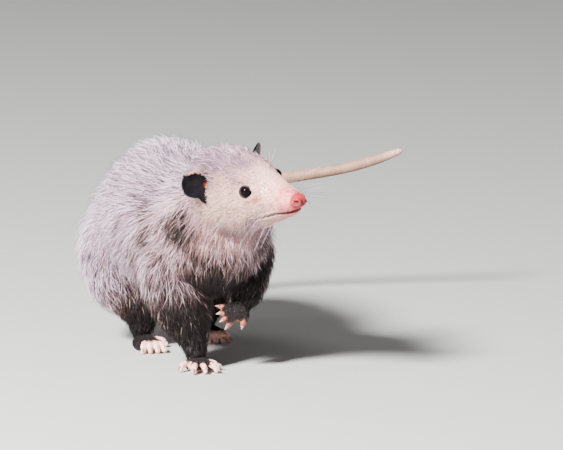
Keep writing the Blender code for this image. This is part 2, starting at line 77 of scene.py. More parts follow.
# Head: forward, left, up, half width, height above, depth below, in the head's own frame
HEAD_PLACE = (1.0, -147.0, 171.6)
HEAD_TURN, HEAD_LIFT, HEAD_TILT = 20.6, 4.5, 19.0
HEAD = [
    (-34, 0, -3, 22, 22, 26), (-18, 0, 0, 33, 29, 37), (2, 0, 0, 37, 31, 41), (22, 0, -2, 32.5, 26, 38),
    (40, 0, -4, 23.5, 20, 34), (56, 0, -7, 17, 15.5, 27), (70, 0, -10, 13, 11.6, 19.5),
    (80, 0, -11.5, 10.6, 9, 14), (88, 0, -12, 8.6, 7.2, 9),
]
NOSE = [(84, 0, -11.8, 5.4, 5, 5.4), (90, 0, -11.4, 7.2, 6.2, 6.8), (95, 0, -11, 6.2, 5.2, 6)]
EYE, EYE_LOOKS, LID_OPENING = (42, 16.8, 2.8), (0.42, 0.88, 0.2), (5.5, 4.9)
MOUTH = [(84.7, 2.9, -20), (78.4, 8.4, -20.4), (66.5, 11.4, -20.3), (54, 13.5, -22.4), (45, 15.8, -23.5),
         (37.5, 18.3, -24.7)]
NOSTRIL = [(92.5, 5.6, -11.2), (90.6, 6.9, -10.6), (87.6, 6.6, -8.8)]
# Ears: side, middle of the rim, the way the cup faces and the way from its root to its tip
EARS = {
    "right_ear": (RIGHT, (0.9, -38.2, 16.1), (0.78, -0.55, 0.29), (-0.535, -0.356, 0.765)),
    "left_ear": (LEFT, (-1.4, 35.9, 10.8), (0.781, 0.503, -0.371), (-0.455, 0.864, 0.216)),
}
EAR_RADIUS, EAR_CUP, EAR_WALL = 11.6, 4.0, 0.9

# Tail: x, y, z, radius
TAIL = [
    (4, 132, 108, 13.5), (8, 162, 102, 11.5), (22, 190, 103, 9.4), (52, 208, 108, 7.6), (96, 212, 113, 6.4),
    (150, 205, 117.3, 5.7), (205, 188, 125.8, 4.9), (229.5, 178, 132.2, 4.8), (246, 170, 138.2, 4.2),
    (262.5, 159.2, 146, 2.9),
]
TAIL_CAP = (0.05, 0.02)

# Legs: x, y, z, half width across, half depth fore and aft
LEGS = {
    "right_foreleg": [
        (-22, -76, 116, 20, 24), (-33, -80, 90, 23, 25), (-29, -84, 64, 22, 22), (-22.5, -90, 44, 17, 17),
        (-18, -96, 26, 10, 10), (-17, -99, 14, 7.5, 7.5), (-17, -101, 5.5, 5, 5)],
    "left_foreleg": [
        (29, -79, 120, 19, 23), (33, -88, 101, 18, 20), (31.5, -98, 84, 13.5, 15), (28, -106, 70, 10.5, 11.5),
        (23.5, -111, 60, 8, 8), (19, -113.5, 54.5, 5, 5)],
    "right_hindleg": [
        (-24, 74, 104, 28, 36), (-35, 60, 80, 32, 39), (-38, 45, 60, 27, 32), (-32, 33, 43, 18, 19),
        (-28, 29, 27, 11, 11.5), (-28, 28, 15, 8, 8), (-28, 25, 6, 5.5, 5.5)],
    "left_hindleg": [
        (25, 92, 104, 28, 36), (38, 82, 80, 32, 38), (44, 68, 60, 26, 30), (44, 59, 43, 17, 18),
        (42, 60, 27, 11, 11.5), (42, 62, 15, 8, 8), (42, 60, 6, 5.5, 5.5)],
}

# Paws: middle of the palm, the way the middle digit points, the palm's upward side, turns of the digits in
# degrees, then half width, half height and half length of the palm with length and radius of a digit, and
# the turn of the inner hind toe, which has no claw
PAWS = {
    "right_forepaw": ((-17, -106, 5), (0.05, -1, 0), UP, (-62, -30, -2, 27, 58),
                      (9.5, 6.4, 8.5, 15.5, 2.9), None),
    "left_forepaw": ((17.5, -115, 53.5), (-0.88, 0.25, -0.4), (-0.3, -0.93, 0.2), (-34, -14, 6, 28, 52),
                     (9, 6.2, 8, 12, 2.9), None),
    "right_hindpaw": ((-28, 16, 5), (0.0, -1, 0), UP, (-24, -8, 8, 24), (10, 7, 17, 17, 3.3), 72),
    "left_hindpaw": ((42, 49, 5), (0.05, -1, 0), UP, (-24, -8, 8, 24), (10, 7, 17, 17, 3.3), -72),
}

# The photograph's view: turn and rise of the camera in degrees, its distance in mm, the scale of the image,
# and the pixels of the ground below the model's walking frame and of the image's middle
CAMERA_TURN, CAMERA_RISE, CAMERA_AWAY = -18.0, 9.0, 8000.0
PIXELS_PER_MM, IMAGE_WIDTH = 1.12, 563
GROUND_PIXEL, MIDDLE_PIXEL = (181.0, 350.5), (281.5, 225.0)


def unit(vectors):
    """The vectors at length 1."""
    vectors = np.asarray(vectors, float)
    return vectors / np.maximum(np.linalg.norm(vectors, axis=-1, keepdims=True), 1e-9)


def ease(x, low, high):
    """0 below low, 1 above high and smooth between. low may be above high."""
    t = np.clip((np.asarray(x, float) - low) / (high - low), 0, 1)
    return t * t * (3 - 2 * t)


def bell(distance, reach):
    """1 at no distance, falling smoothly to 0 at reach."""
    return np.clip(1 - (distance / reach) ** 2, 0, 1) ** 2


def ripple(points, wave, seed):
    """A smooth, uneven field between about -1 and 1 whose bumps are about a wave across."""
    draw = np.random.default_rng(seed)
    total = np.zeros(len(points))
    for _ in range(6):
        way = unit(draw.normal(size=3)) * math.tau / (wave * draw.uniform(0.8, 1.6))
        total += np.sin(points @ way + draw.uniform(0, math.tau))
    return total / 3.2


def head_matrix():
    """The head's own frame, +X forward, +Y left and +Z up, in mm."""
    facing = Matrix.Rotation(math.radians(HEAD_TURN - 90), 4, "Z")
    lifted = Matrix.Rotation(math.radians(-HEAD_LIFT), 4, "Y")
    tilted = Matrix.Rotation(math.radians(HEAD_TILT), 4, "X")
    return np.array(Matrix.Translation(HEAD_PLACE) @ facing @ lifted @ tilted)


HEAD_FRAME = head_matrix()


def from_head(points):
    """Points of the head's own frame, in the walking frame."""
    return np.asarray(points, float) @ HEAD_FRAME[:3, :3].T + HEAD_FRAME[:3, 3]


def to_head(points):
    """Points of the walking frame, in the head's own frame."""
    return (np.asarray(points, float) - HEAD_FRAME[:3, 3]) @ HEAD_FRAME[:3, :3]


def frame_shift():
    """From the walking frame to the frame of the part, found from where the right eye is, in mm."""
    low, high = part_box("eye_right")
    return np.array((low + high) / 2) / MM - from_head(np.array(EYE) * (1, RIGHT, 1))


SHIFT = frame_shift()


class Form:
    """A rounded form swept along a table of stations, worked out for many points at once.

    A station is a place and one to three half sizes: across, above and below. The last one is repeated.
    """

    SAMPLES = 161

    def __init__(self, rows, placed=False, reference=UP, cap=(0.08, 0.08), ridge=0.0):
        rows = np.array([(*row, row[-1], row[-1])[:6] for row in rows], float)
        self.placed, self.cap, self.ridge = placed, cap, ridge
        steps = np.linalg.norm(np.diff(rows[:, :3], axis=0), axis=1)
        self.length = steps.sum()
        shares = np.linspace(0, 1, self.SAMPLES)
        at = np.interp(shares * self.length, np.concatenate([[0], np.cumsum(steps)]), np.arange(len(rows)))
        i = np.minimum(at.astype(int), len(rows) - 2)
        u = (at - i)[:, None]
        padded = np.vstack([2 * rows[0] - rows[1], rows, 2 * rows[-1] - rows[-2]])
        before, a, b, after = (padded[i + k] for k in range(4))
        dense = (before * (-u + 2 * u ** 2 - u ** 3) + a * (2 - 5 * u ** 2 + 3 * u ** 3)
                 + b * (u + 4 * u ** 2 - 3 * u ** 3) + after * (-u ** 2 + u ** 3)) / 2
        forward = unit(np.gradient(dense[:, :3], axis=0))
        side = unit(np.cross(forward, reference))
        self.table = np.hstack([dense, forward, side, np.cross(side, forward)])

    def at(self, share):
        """Centre, half sizes, forward, side and up at each share of the length."""
        place = np.clip(share, 0, 1) * (self.SAMPLES - 1)
        i = np.minimum(place.astype(int), self.SAMPLES - 2)
        u = (place - i)[:, None]
        row = self.table[i] * (1 - u) + self.table[i + 1] * u
        return [row[:, k:k + 3] for k in range(0, 15, 3)]

    def point(self, turn, angle):
        """Surface points. turn goes from 0 at the start to 1 at the end, and angle round the section."""
        turn, angle = (np.atleast_1d(np.asarray(v, float)) for v in np.broadcast_arrays(turn, angle))
        first, last = self.cap
        lean = np.where(turn < first, turn / first, np.where(turn > 1 - last, (1 - turn) / last, 1))
        lean = lean * math.pi / 2
        share = np.where(turn < first, first * (1 - np.cos(lean)),
                         np.where(turn > 1 - last, 1 - last * (1 - np.cos(lean)), turn))
        centre, half, _, side, up = self.at(share)
        c, s = np.cos(angle), np.sin(angle)
        c = c * (1 - self.ridge * np.maximum(s, 0))
        tall = np.where(s > 0, half[:, 1], half[:, 2])
        outward = side * (c * half[:, 0])[:, None] + up * (s * tall)[:, None]
        place = centre + outward * np.sin(lean)[:, None]
        return from_head(place) if self.placed else place

    def locate(self, points):
        """Share of the length, angle, distance from the surface and forward direction, for each point."""
        local = to_head(points) if self.placed else np.asarray(points, float)
        nearest = np.empty(len(local), int)
        centres = self.table[:, :3]
        for k in range(0, len(local), 20000):
            part = local[k:k + 20000]
            nearest[k:k + 20000] = np.argmin((centres ** 2).sum(1) - 2 * part @ centres.T, axis=1)
        centre, half, forward, side, up = (self.table[nearest, k:k + 3] for k in range(0, 15, 3))
        off = local - centre
        a, b = (off * side).sum(1), (off * up).sum(1)
        tall = np.where(b > 0, half[:, 1], half[:, 2])
        ratio = np.sqrt((a / half[:, 0]) ** 2 + (b / tall) ** 2)
        angle = np.arctan2(b / tall, a / half[:, 0])
        beyond = np.maximum(np.abs((off * forward).sum(1)) - 3, 0)
        distance = (ratio - 1) * (half[:, 0] + tall) / 2 + beyond
        if self.placed:
            forward = forward @ HEAD_FRAME[:3, :3].T
        return nearest / (self.SAMPLES - 1), angle, distance, forward


HEAD_CAP, HEAD_FUR = (0.12, 0.06), (5, 7, 7, 4.4, 1.5, 0.7, 0.4, 0.2, 0)
TRUNK_FORM = Form(TRUNK, cap=(0.16, 0.08), ridge=TRUNK_RIDGE)
HEAD_FORM = Form(HEAD, placed=True, cap=HEAD_CAP)
HEAD_SKIN = Form([(*row[:3], *(half - fur for half in row[3:])) for row, fur in zip(HEAD, HEAD_FUR)],
                 placed=True, cap=HEAD_CAP)
LEG_FORMS = {name: Form(rows, reference=FORWARD, cap=(0.1, 0.08)) for name, rows in LEGS.items()}
TAIL_FORM = Form(TAIL, cap=TAIL_CAP)


def coat_depth(share, angle):
    """How far the coat's tips stand off the skin of the trunk. It is thinner towards the neck."""
    depth = 15.0 + 3.0 * np.minimum(1, (np.sin(angle) + 1) * 0.75)
    return depth + (9.0 - depth) * np.clip((share - 0.62) / 0.3, 0, 1)


# Meshes

def finished(obj, material, replaces=()):
    """Puts a piece's place in its mesh, in the frame of the part, and tells the frame what it is."""
    points = read_points(obj.data)
    write_points(obj.data, (points + SHIFT) * MM)
    obj.data.materials.clear()
    obj.data.materials.append(material)
    obj.data.shade_smooth()
    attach(obj, "root")
    if replaces:
        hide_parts(*replaces)
    return obj


def read_points(mesh):
    """The places of a mesh's vertices."""
    points = np.empty(len(mesh.vertices) * 3)
    mesh.vertices.foreach_get("co", points)
    return points.reshape(-1, 3)


def write_points(mesh, points):
    """Moves a mesh's vertices."""
    mesh.vertices.foreach_set("co", np.asarray(points, np.float32).ravel())
    mesh.update()


def read_normals(mesh):
    """The directions that a mesh's vertices face."""
    normals = np.empty(len(mesh.vertices) * 3)
    mesh.vertex_normals.foreach_get("vector", normals)
    return normals.reshape(-1, 3)


def object_of(name, bm):
    """A new object from a bmesh, with its faces outwards."""
    bm.normal_update()
    if bm.calc_volume(signed=True) < 0:
        bmesh.ops.reverse_faces(bm, faces=bm.faces)
    mesh = bpy.data.meshes.new(name)
    bm.to_mesh(mesh)
    bm.free()
    obj = bpy.data.objects.new(name, mesh)
    bpy.context.scene.collection.objects.link(obj)
    return obj


def sweep(bm, form, sides, rings):
    """Adds a ball whose rings are moved onto the form."""
    verts = bmesh.ops.create_uvsphere(bm, u_segments=sides, v_segments=rings, radius=1)["verts"]
    co = np.array([v.co for v in verts])
    turn = 1 - np.arccos(np.clip(co[:, 2], -1, 1)) / math.pi
    for vert, place in zip(verts, form.point(turn, np.arctan2(co[:, 1], co[:, 0]))):
        vert.co = place


def applied(obj):
    """Makes the modifiers' result the object's own mesh."""
    graph = bpy.context.evaluated_depsgraph_get()
    mesh = bpy.data.meshes.new_from_object(obj.evaluated_get(graph))
    obj.modifiers.clear()
    obj.data = mesh
    return obj


def fused(obj, voxel):
    """Makes overlapping closed shapes one even surface."""
    remesh = obj.modifiers.new("fuse", "REMESH")
    remesh.mode, remesh.voxel_size, remesh.adaptivity = "VOXEL", voxel, 0
    return applied(obj)


def relax(mesh, times, strength=0.5, share=None):
    """Moves each vertex towards the middle of its neighbours. share is 0 to 1 for each vertex."""
    points = read_points(mesh)
    edges = np.empty(len(mesh.edges) * 2, int)
    mesh.edges.foreach_get("vertices", edges)
    a, b = edges.reshape(-1, 2).T
    count = np.bincount(a, minlength=len(points)) + np.bincount(b, minlength=len(points))
    share = np.ones(len(points)) if share is None else share
    for _ in range(times):
        sums = [np.bincount(a, points[b, k], len(points)) + np.bincount(b, points[a, k], len(points))
                for k in range(3)]
        points += (np.stack(sums, 1) / np.maximum(count, 1)[:, None] - points) * (strength * share)[:, None]
    write_points(mesh, points)


def refine(mesh, wanted):
    """Splits the faces whose middles are wanted."""
    bm = bmesh.new()
    bm.from_mesh(mesh)
    chosen = wanted(np.array([f.calc_center_median() for f in bm.faces]))
    edges = {edge for face, take in zip(bm.faces, chosen) if take for edge in face.edges}
    bmesh.ops.subdivide_edges(bm, edges=list(edges), cuts=1, use_grid_fill=True)
    bmesh.ops.triangulate(bm, faces=[f for f in bm.faces if len(f.verts) > 4])
    bm.to_mesh(mesh)
    bm.free()


def set_colours(mesh, name, values):
    """Stores four numbers for each vertex as an attribute that materials read."""
    layer = mesh.attributes.get(name) or mesh.attributes.new(name, "FLOAT_COLOR", "POINT")
    layer.data.foreach_set("color", np.asarray(values, np.float32).ravel())


def distance_to_line(points, line):
    """Distance from each point to a run of straight pieces."""
    best = np.full(len(points), 1e9)
    line = np.asarray(line, float)
    for a, b in zip(line, line[1:]):
        t = np.clip((points - a) @ (b - a) / ((b - a) @ (b - a)), 0, 1)
        best = np.minimum(best, np.linalg.norm(points - a - t[:, None] * (b - a), axis=1))
    return best


# The head's features

def mirrored(points, side):
    """Points on the left of the head, moved to the given side."""
    return np.asarray(points, float) * (1, side, 1)


LIPS = np.vstack([mirrored(MOUTH, LEFT)[::-1], mirrored(MOUTH, RIGHT)])
# Ovals on the left of the head: middle and reach, and for the swells how far the skin moves out
EYE_CORNER = ((49.5, 18.5, 1.6), (5.2, 6, 2.4))
TEAR_STAINS = (((54, 17, -4.8), (9, 9, 3.6)), ((45, 20, -6.2), (5, 8, 2.6)))
SWELLS = {
    "brow": ((40, 17, 11), (12, 7, 4), 0.9),
    "whisker pad": ((74, 10.5, -14.5), (12, 6, 5), 0.8),
    "hollow before the eye": ((54, 15.5, -1), (8, 5, 5), -0.8),
}
LID_SWELL, LID_GAP, LID_TUCK = 0.75, 0.55, 1.6


def oval(points, middle, reach):
    """1 in the middle of an oval, falling smoothly to 0 at its reach."""
    return bell(np.linalg.norm((points - middle) / reach, axis=1), 1)


def eye_axes(side):
    """Centre of the eye, the way it looks, and the directions along and across its opening."""
    looks = unit(mirrored(EYE_LOOKS, side))
    ahead = unit(np.array((1.0, 0, -0.12)) - looks * np.dot((1.0, 0, -0.12), looks))
    return mirrored(EYE, side), looks, ahead, np.cross(looks, ahead) * side


def eye_ring(local, side):
    """1 on the margin of the lids, less inside and more outside, with the depth and place over the eye."""
    centre, looks, ahead, over = eye_axes(side)
    off = local - centre
    a, b, depth = off @ ahead, off @ over, off @ looks
    corner = 0.16 * bell(np.abs(b), 2.4) * ease(a, 2, 5.5) * ease(a, 9, 7)
    ring = np.sqrt((a / LID_OPENING[0]) ** 2 + (b / LID_OPENING[1]) ** 2) - corner
    ring = np.where(depth < 0, 9, ring)
    return ring, depth, a, b


def min_ring(local):
    """The ring of the nearer eye."""
    return np.minimum(eye_ring(local, LEFT)[0], eye_ring(local, RIGHT)[0])


def eye_stain(local):
    """Tan tint below and in front of each eye."""
    spots = [oval(local, mirrored(middle, side), reach) for _, side in SIDES for middle, reach in TEAR_STAINS]
    return np.clip(sum(spots), 0, 1)


def front_corner(local):
    """The dark patch that runs forward from the front corner of each eye."""
    middle, reach = EYE_CORNER
    return np.clip(sum(oval(local, mirrored(middle, side), reach) for _, side in SIDES), 0, 1)


def set_lids(local, eye_radius):
    """Moves the skin round each eye to just outside the ball, and inside the lids' opening behind it."""
    for _, side in SIDES:
        ring, depth, a, b = eye_ring(local, side)
        looks = eye_axes(side)[1]
        across = np.minimum(a * a + b * b, eye_radius ** 2)
        ball = np.sqrt(eye_radius ** 2 - across)
        lid = np.maximum(depth + LID_SWELL * bell(np.abs(ring - 1.22), 0.4), ball + LID_GAP)
        goal = np.where(ring < 1.55, lid, depth)
        goal = depth + (goal - depth) * ease(ring, 1.9, 1.3)
        goal = goal + (ball - LID_TUCK - goal) * ease(ring, 1.04, 0.9)
        local += looks * (goal - depth)[:, None] * (ring < 2)[:, None]


def carve_head(points, normals, eye_radius):
    """Mouth, nostrils, the swells of the face and the lids, as moves of the skin in the head's frame."""
    local, out = to_head(points), normals @ HEAD_FRAME[:3, :3]
    f, l, u = local.T
    near, shut = distance_to_line(local, LIPS), ease(f, 35, 42)
    move = 0.5 * bell(np.abs(near - 2.6), 2.0) * shut - 1.7 * bell(near, 1.9) * shut
    for _, side in SIDES:
        hole = distance_to_line(local, mirrored(NOSTRIL[:2], side))
        slit = distance_to_line(local, mirrored(NOSTRIL[1:], side))
        move -= 3.0 * bell(hole, 2.1) + 1.3 * bell(slit, 1.3)
        move += 0.7 * bell(np.abs(hole - 3.1), 1.7) * (f > 84)
        for middle, reach, far in SWELLS.values():
            move += far * oval(local, mirrored(middle, side), reach)
    cleft = 0.9 * bell(np.abs(l), 0.9) * ease(f, 88, 92) * ease(u, -9, -12)
    edge_of_pad = 0.5 * bell(np.abs(f - 85.4 + 0.12 * (u + 12)), 1.2) * ease(u, -19.5, -17)
    move -= cleft
    move -= edge_of_pad
    local += out * move[:, None]
    set_lids(local, eye_radius)
    return from_head(local)


# The lie, the length and the markings of the coat

DOWN = np.array((0, 0, -1.0))
PALE_CHEST = ((-12, -116, 120), (50, 62, 42))
SHADE_BEHIND_SHOULDER = ((-60, -30, 84), (40, 26, 26))
# Where on a leg the dark fur starts and where it is full, as shares of its length
DARK_FROM = {"right_foreleg": (-0.1, 0.66), "left_foreleg": (-0.2, 0.45),
             "right_hindleg": (0.24, 0.84), "left_hindleg": (0.24, 0.84)}


def trunk_coat(share, angle, off, ahead):
    """Weight, lie, length and depth of the trunk's coat. It runs back and falls down the sides."""
    high = np.sin(angle)
    front, low, nape = ease(share, 0.66, 0.86), ease(high, 0.2, -0.7), ease(share, 0.76, 0.92)
    fall = 0.12 + 0.75 * ease(high, 0.95, 0.1) * (1 - ease(high, -0.5, -1) * 0.6) + 1.1 * front * low
    withers = bell(np.abs(share - 0.7), 0.2) * ease(high, 0.1, 0.8)
    depth = coat_depth(share, angle) + 5 * nape + 2 * withers
    length = 40 - 14 * front - 6 * low + 5 * nape
    return np.exp(-np.maximum(off, -4) / 7), -ahead + DOWN * fall[:, None], length, depth


def head_coat(points, local, near_lips):
    """The same for the head. It runs back from the nose, hangs under the jaw and is longer on the crown."""
    f, l, u = local.T
    _, _, off, ahead = HEAD_FORM.locate(points)
    face = ease(f, -6, 72)
    under_jaw, on_top = ease(u, -8, -30), ease(u, 12, 24)
    hang = 1.1 * ease(u, -2, -26) + 0.2 * ease(np.abs(l), 8, 24)
    hang *= 1 - 0.95 * bell(near_lips, 9) * ease(f, 28, 40)
    lie = -ahead + DOWN * hang[:, None] + (local * (0, 0.012, 0)) @ HEAD_FRAME[:3, :3].T
    length = 21 - 18.6 * face ** 0.72 + 4 * ease(u, -4, -26) * ease(f, 50, 20) + 9 * on_top * (1 - face)
    fur = np.interp(f, [row[0] for row in HEAD], HEAD_FUR)
    depth = 1.25 * fur + 0.15 + (0.9 + 2.5 * under_jaw + 3.4 * on_top) * (1 - face)
    return np.exp(-np.maximum(off, -4) / 5) * ease(f, -30, -12), lie, length, depth


def leg_coat(at, off, ahead):
    """The same for a leg. It runs down the leg and gets shorter."""
    weight = np.exp(-np.maximum(off, -4) / 5) * ease(at, 0.02, 0.22)
    length, depth = 28 - 16 * ease(at, 0.4, 0.95), 9 - 5.6 * ease(at, 0.35, 0.95)
    return weight, ahead + np.array((0, 0.25, 0)), length, depth


def tail_coat(points):
    """The same for the root of the tail, where the coat ends."""
    _, _, off, ahead = TAIL_FORM.locate(points)
    weight = np.exp(-np.maximum(off, -3) / 4) * ease(points[:, 1], 136, 146)
    return weight, ahead, np.full(len(points), 16.0), np.full(len(points), 4.0)


def markings(points, local, share, high, on_head, on_trunk, dark):
    """Cream, dark, pink and grey of the coat, each 0 to 1. dark comes in with the legs' own darkness, and
    also carries painted shade low on the chest and rump, under the throat and behind the shoulder.
    """
    f, _, u = local.T
    z = points[:, 2]
    uneven, small = ripple(points, 34, 5), ripple(points, 14, 8)
    forepart = ease(share, 0.55, 0.75)
    crown = ease(u + 4 * small, 6, 20) * ease(f, 62, 38)
    ruff = 0.85 * np.maximum(ease(u, -12, -28) * ease(f, 56, 30), ease(f, 6, -22)) * (1 + 0.5 * small)
    cream = on_head * (1 - 0.9 * crown) * np.clip(1 - ruff, 0, 1)
    chest = oval(points, *PALE_CHEST) ** 0.6
    cream = np.clip(np.maximum(cream, chest * ease(share, 0.6, 0.8)), 0, 1)
    band = bell(np.abs(share - 0.79 - 0.04 * uneven), 0.13) * ease(high, -0.9, -0.2)
    band *= 1 - 0.65 * ease(high, 0.5, 1)
    # Collar: darker fur low on the neck, deepened with painted shade under the throat.
    collar_and_throat_shade = bell(np.abs(share - 0.93), 0.06) * ease(high, 0.3, -0.1) * ease(high, -1.0, -0.8)
    # Darker low on the chest and rump: partly the dark fur that runs into the legs, partly painted shade on
    # the underside.
    lower = 0.95 * forepart * ease(z + 10 * uneven + 9 * small, 139, 84)
    lower += 0.6 * (1 - forepart) * ease(z + 6 * uneven, 98, 62)
    # Painted shade on the flank behind the shoulder.
    patch = 0.3 * oval(points, *SHADE_BEHIND_SHOULDER)
    shade = np.maximum.reduce([0.54 * band, 0.78 * collar_and_throat_shade, lower, patch]) * on_trunk
    dark = np.clip(np.maximum(dark, shade + 0.12 * small * on_trunk), 0, 1)
    cream = cream * (1 - 0.8 * lower) * (1 - 0.6 * collar_and_throat_shade)
    flank = ease(high, 0.9, 0.25) * on_trunk
    eyes = sum(bell(np.linalg.norm(local - mirrored((44, 19, 8), side), axis=1), 22) for _, side in SIDES)
    pink = on_head * (ease(f, 50, 74) + 0.5 * eyes + 0.22 * ease(u, 2, 16) + 0.15 * uneven)
    pink = np.maximum(pink, 0.8 * flank * (1 - dark))
    grey = np.clip(0.95 - cream - 0.8 * flank + 0.3 * uneven + 0.2 * small, 0, 1)
    return np.stack([cream, dark, np.clip(pink, 0, 1), grey], 1)


def coat_at(points, normals):
    """Lie (a unit vector on the skin), length, depth, share of full density and markings, for each point.

    Trunk, head, legs and tail each have their own coat, and where they meet the coats are mixed.
    """
    local = to_head(points)
    f = local[:, 0]
    near_lips = distance_to_line(local, LIPS)
    share, angle, off, ahead = TRUNK_FORM.locate(points)
    coats = [trunk_coat(share, angle, off, ahead), head_coat(points, local, near_lips)]
    dark = np.zeros(len(points))
    for name, form in LEG_FORMS.items():
        at, _, off, ahead = form.locate(points)
        coats.append(leg_coat(at, off, ahead))
        dark = np.maximum(dark, ease(at, *DARK_FROM[name]) * ease(off, 8, 1))
    coats.append(tail_coat(points))
    weights, lies, lengths, depths = zip(*coats)
    weights = np.array(weights)
    weights /= np.maximum(weights.sum(0), 1e-9)
    lie = sum(weight[:, None] * unit(way) for weight, way in zip(weights, lies))
    lie -= normals * (lie * normals).sum(1)[:, None]
    length, depth = (weights * lengths).sum(0), (weights * depths).sum(0)

    # Bare or short on the nose and beside the lips and lids
    density = 1 - ease(f, 82, 86)
    density *= ease(near_lips, 1.2, 2.2) * (1 - 0.45 * ease(f, 58, 76))
    short = ease(near_lips, 9, 2) * ease(f, 28, 40)
    length *= 1 - 0.55 * short
    depth *= 1 - 0.5 * short
    for _, side in SIDES:
        ring = eye_ring(local, side)[0]
        density *= ease(ring, 1.12, 1.3)
        length *= 0.35 + 0.65 * ease(ring, 1.1, 2.6)
        depth *= 0.35 + 0.65 * ease(ring, 1.1, 2.6)
    marks = markings(points, local, share, np.sin(angle), weights[1], weights[0], dark)
    return unit(lie), length, depth, density, marks


# Cells of the OFBake map for trunk, head, the four legs and the tail: left, low, wide and high
CELLS = ((0.02, 0.02, 0.56, 0.56), (0.62, 0.02, 0.36, 0.36), (0.02, 0.62, 0.16, 0.36),
         (0.2, 0.62, 0.16, 0.36), (0.38, 0.62, 0.16, 0.36), (0.56, 0.62, 0.16, 0.36),
         (0.76, 0.42, 0.2, 0.56))
PATCH_WIDE, PATCH_HIGH = 0.0014, 0.003


def patch_place(points):
    """A place in the unit square for each point, on an unwrap of the skin's own forms."""
    best, places = np.full(len(points), 1e9), np.zeros((len(points), 2))
    for form, (left, low, wide, high) in zip((TRUNK_FORM, HEAD_FORM, *LEG_FORMS.values(), TAIL_FORM), CELLS):
        share, angle, off, _ = form.locate(points)
        closer = off < best
        best = np.where(closer, off, best)
        here = np.stack([left + wide * (angle / math.tau + 0.5), low + high * share], 1)
        places[closer] = here[closer]
    return places


# Hairs

class Surface:
    """A skin that hairs grow on: its triangles, lie and lengths, and a search for its nearest place."""

    def __init__(self, obj):
        mesh = obj.data
        mesh.calc_loop_triangles()
        self.points = read_points(mesh)
        self.normals = read_normals(mesh)
        triangles = np.empty(len(mesh.loop_triangles) * 3, int)
        mesh.loop_triangles.foreach_get("vertices", triangles)
        self.triangles = triangles.reshape(-1, 3)
        a, b, c = (self.points[self.triangles[:, k]] for k in range(3))
        self.areas = np.linalg.norm(np.cross(b - a, c - a), axis=1) / 2
        self.lie, self.length, self.depth, self.density, self.marks = coat_at(self.points, self.normals)
        self.tree = BVHTree.FromPolygons(self.points.tolist(), self.triangles.tolist())

    def sample(self, count, draw, favour):
        """Random places on the skin, as the three vertices and the weights of each."""
        weight = self.areas * favour[self.triangles].mean(1)
        chosen = draw.choice(len(self.triangles), count, p=weight / weight.sum())
        a, b = draw.random((2, count))
        fold = a + b > 1
        a, b = np.where(fold, 1 - a, a), np.where(fold, 1 - b, b)
        return self.triangles[chosen], np.stack([1 - a - b, a, b], 1)

    def nearest(self, points):
        """Nearest place on the skin, its normal and its lie, for each point."""
        places, faces = np.empty((len(points), 3)), np.empty(len(points), int)
        find = self.tree.find_nearest
        for i, point in enumerate(points.tolist()):
            place, _, face, _ = find(point)
            places[i], faces[i] = place, face
        near = self.triangles[faces]
        gap = np.linalg.norm(self.points[near] - places[:, None], axis=2) + 1e-3
        share = (1 / gap / (1 / gap).sum(1)[:, None])[:, :, None]
        return places, unit((self.normals[near] * share).sum(1)), unit((self.lie[near] * share).sum(1))


ROOT_DEPTH, TUFT_REACH, DROOP = 0.8, 14.0, np.array((0, 0, -0.35))


def draw_together(lines, root, clump, tuft, draw):
    """Draws each hair towards the middle hair of its tuft. Gives that hair, and whether it is near."""
    count, spots = lines.shape[:2]
    chosen = draw.choice(count, max(count // tuft, 1), replace=False)
    tree = KDTree(len(chosen))
    for index in chosen:
        tree.insert(root[index], int(index))
    tree.balance()
    middle = np.array([tree.find(place)[1] for place in root.tolist()])
    near = np.linalg.norm(root[middle] - root, axis=1) < TUFT_REACH
    pull = clump * draw.uniform(0.5, 1.2, count) * near
    along = np.linspace(0, 1, spots) ** 1.2
    lines += (lines[middle] - lines) * (pull[:, None] * along)[:, :, None]
    return middle, near


def grow_hairs(surface, count, seed, favour, length, rise, width, rings, clump=0.4, tuft=6, stray=0.12,
               hanging=False):
    """Middle lines, normals, half widths, marks, luck and roots of hairs that follow the lie of the skin.

    length scales the coat's own length, rise its depth at the tip, and rings is how many bends a hair has.
    clump is how far a tuft of hairs draws together, stray how unevenly they point, and hanging hairs droop.
    """
    draw = np.random.default_rng(seed)
    corners, shares = surface.sample(count, draw, favour)

    def at(values):
        return (values[corners] * (shares[:, :, None] if values.ndim == 2 else shares)).sum(1)

    root, normal, lie = at(surface.points), unit(at(surface.normals)), unit(at(surface.lie))
    long = at(surface.length) * length * draw.uniform(0.6, 1.2, count)
    tall = at(surface.depth) * rise * draw.uniform(0.6, 1.15, count)
    side = np.cross(normal, lie)
    aside = draw.normal(0, stray, count)
    steps = rings + 1
    lines, outs = [root - normal * ROOT_DEPTH], [normal]
    place, here_normal, here_lie = root, normal, lie
    for k in range(1, steps + 1):
        t = k / steps
        way = unit(here_lie + side * (aside * (0.4 + t))[:, None])
        step = long / steps * (1 - 0.35 * (tall / np.maximum(long, 1)))
        place, here_normal, here_lie = surface.nearest(place + way * step[:, None])
        lift = tall * (1.25 * t - 0.25 * t * t)
        lines.append(place + here_normal * lift[:, None])
        outs.append(here_normal)
    lines, outs = np.stack(lines, 1), np.stack(outs, 1)
    if hanging:
        t = np.linspace(0, 1, steps + 1)[:, None]
        way = unit(lie + normal * 0.3 + side * aside[:, None])[:, None]
        lines = root[:, None] + (way * t + DROOP * t * t) * long[:, None, None]
        lines[:, 0] = root - normal * ROOT_DEPTH
    middle, near = draw_together(lines, root, clump, tuft, draw)
    thick = width * draw.uniform(0.75, 1.25, count)
    luck = draw.random(count)
    luck += (luck[middle] - luck) * 0.55 * near
    lines, kept = trimmed(lines, draw)
    return [part[kept] for part in (lines, outs, thick, at(surface.marks), luck, root)]


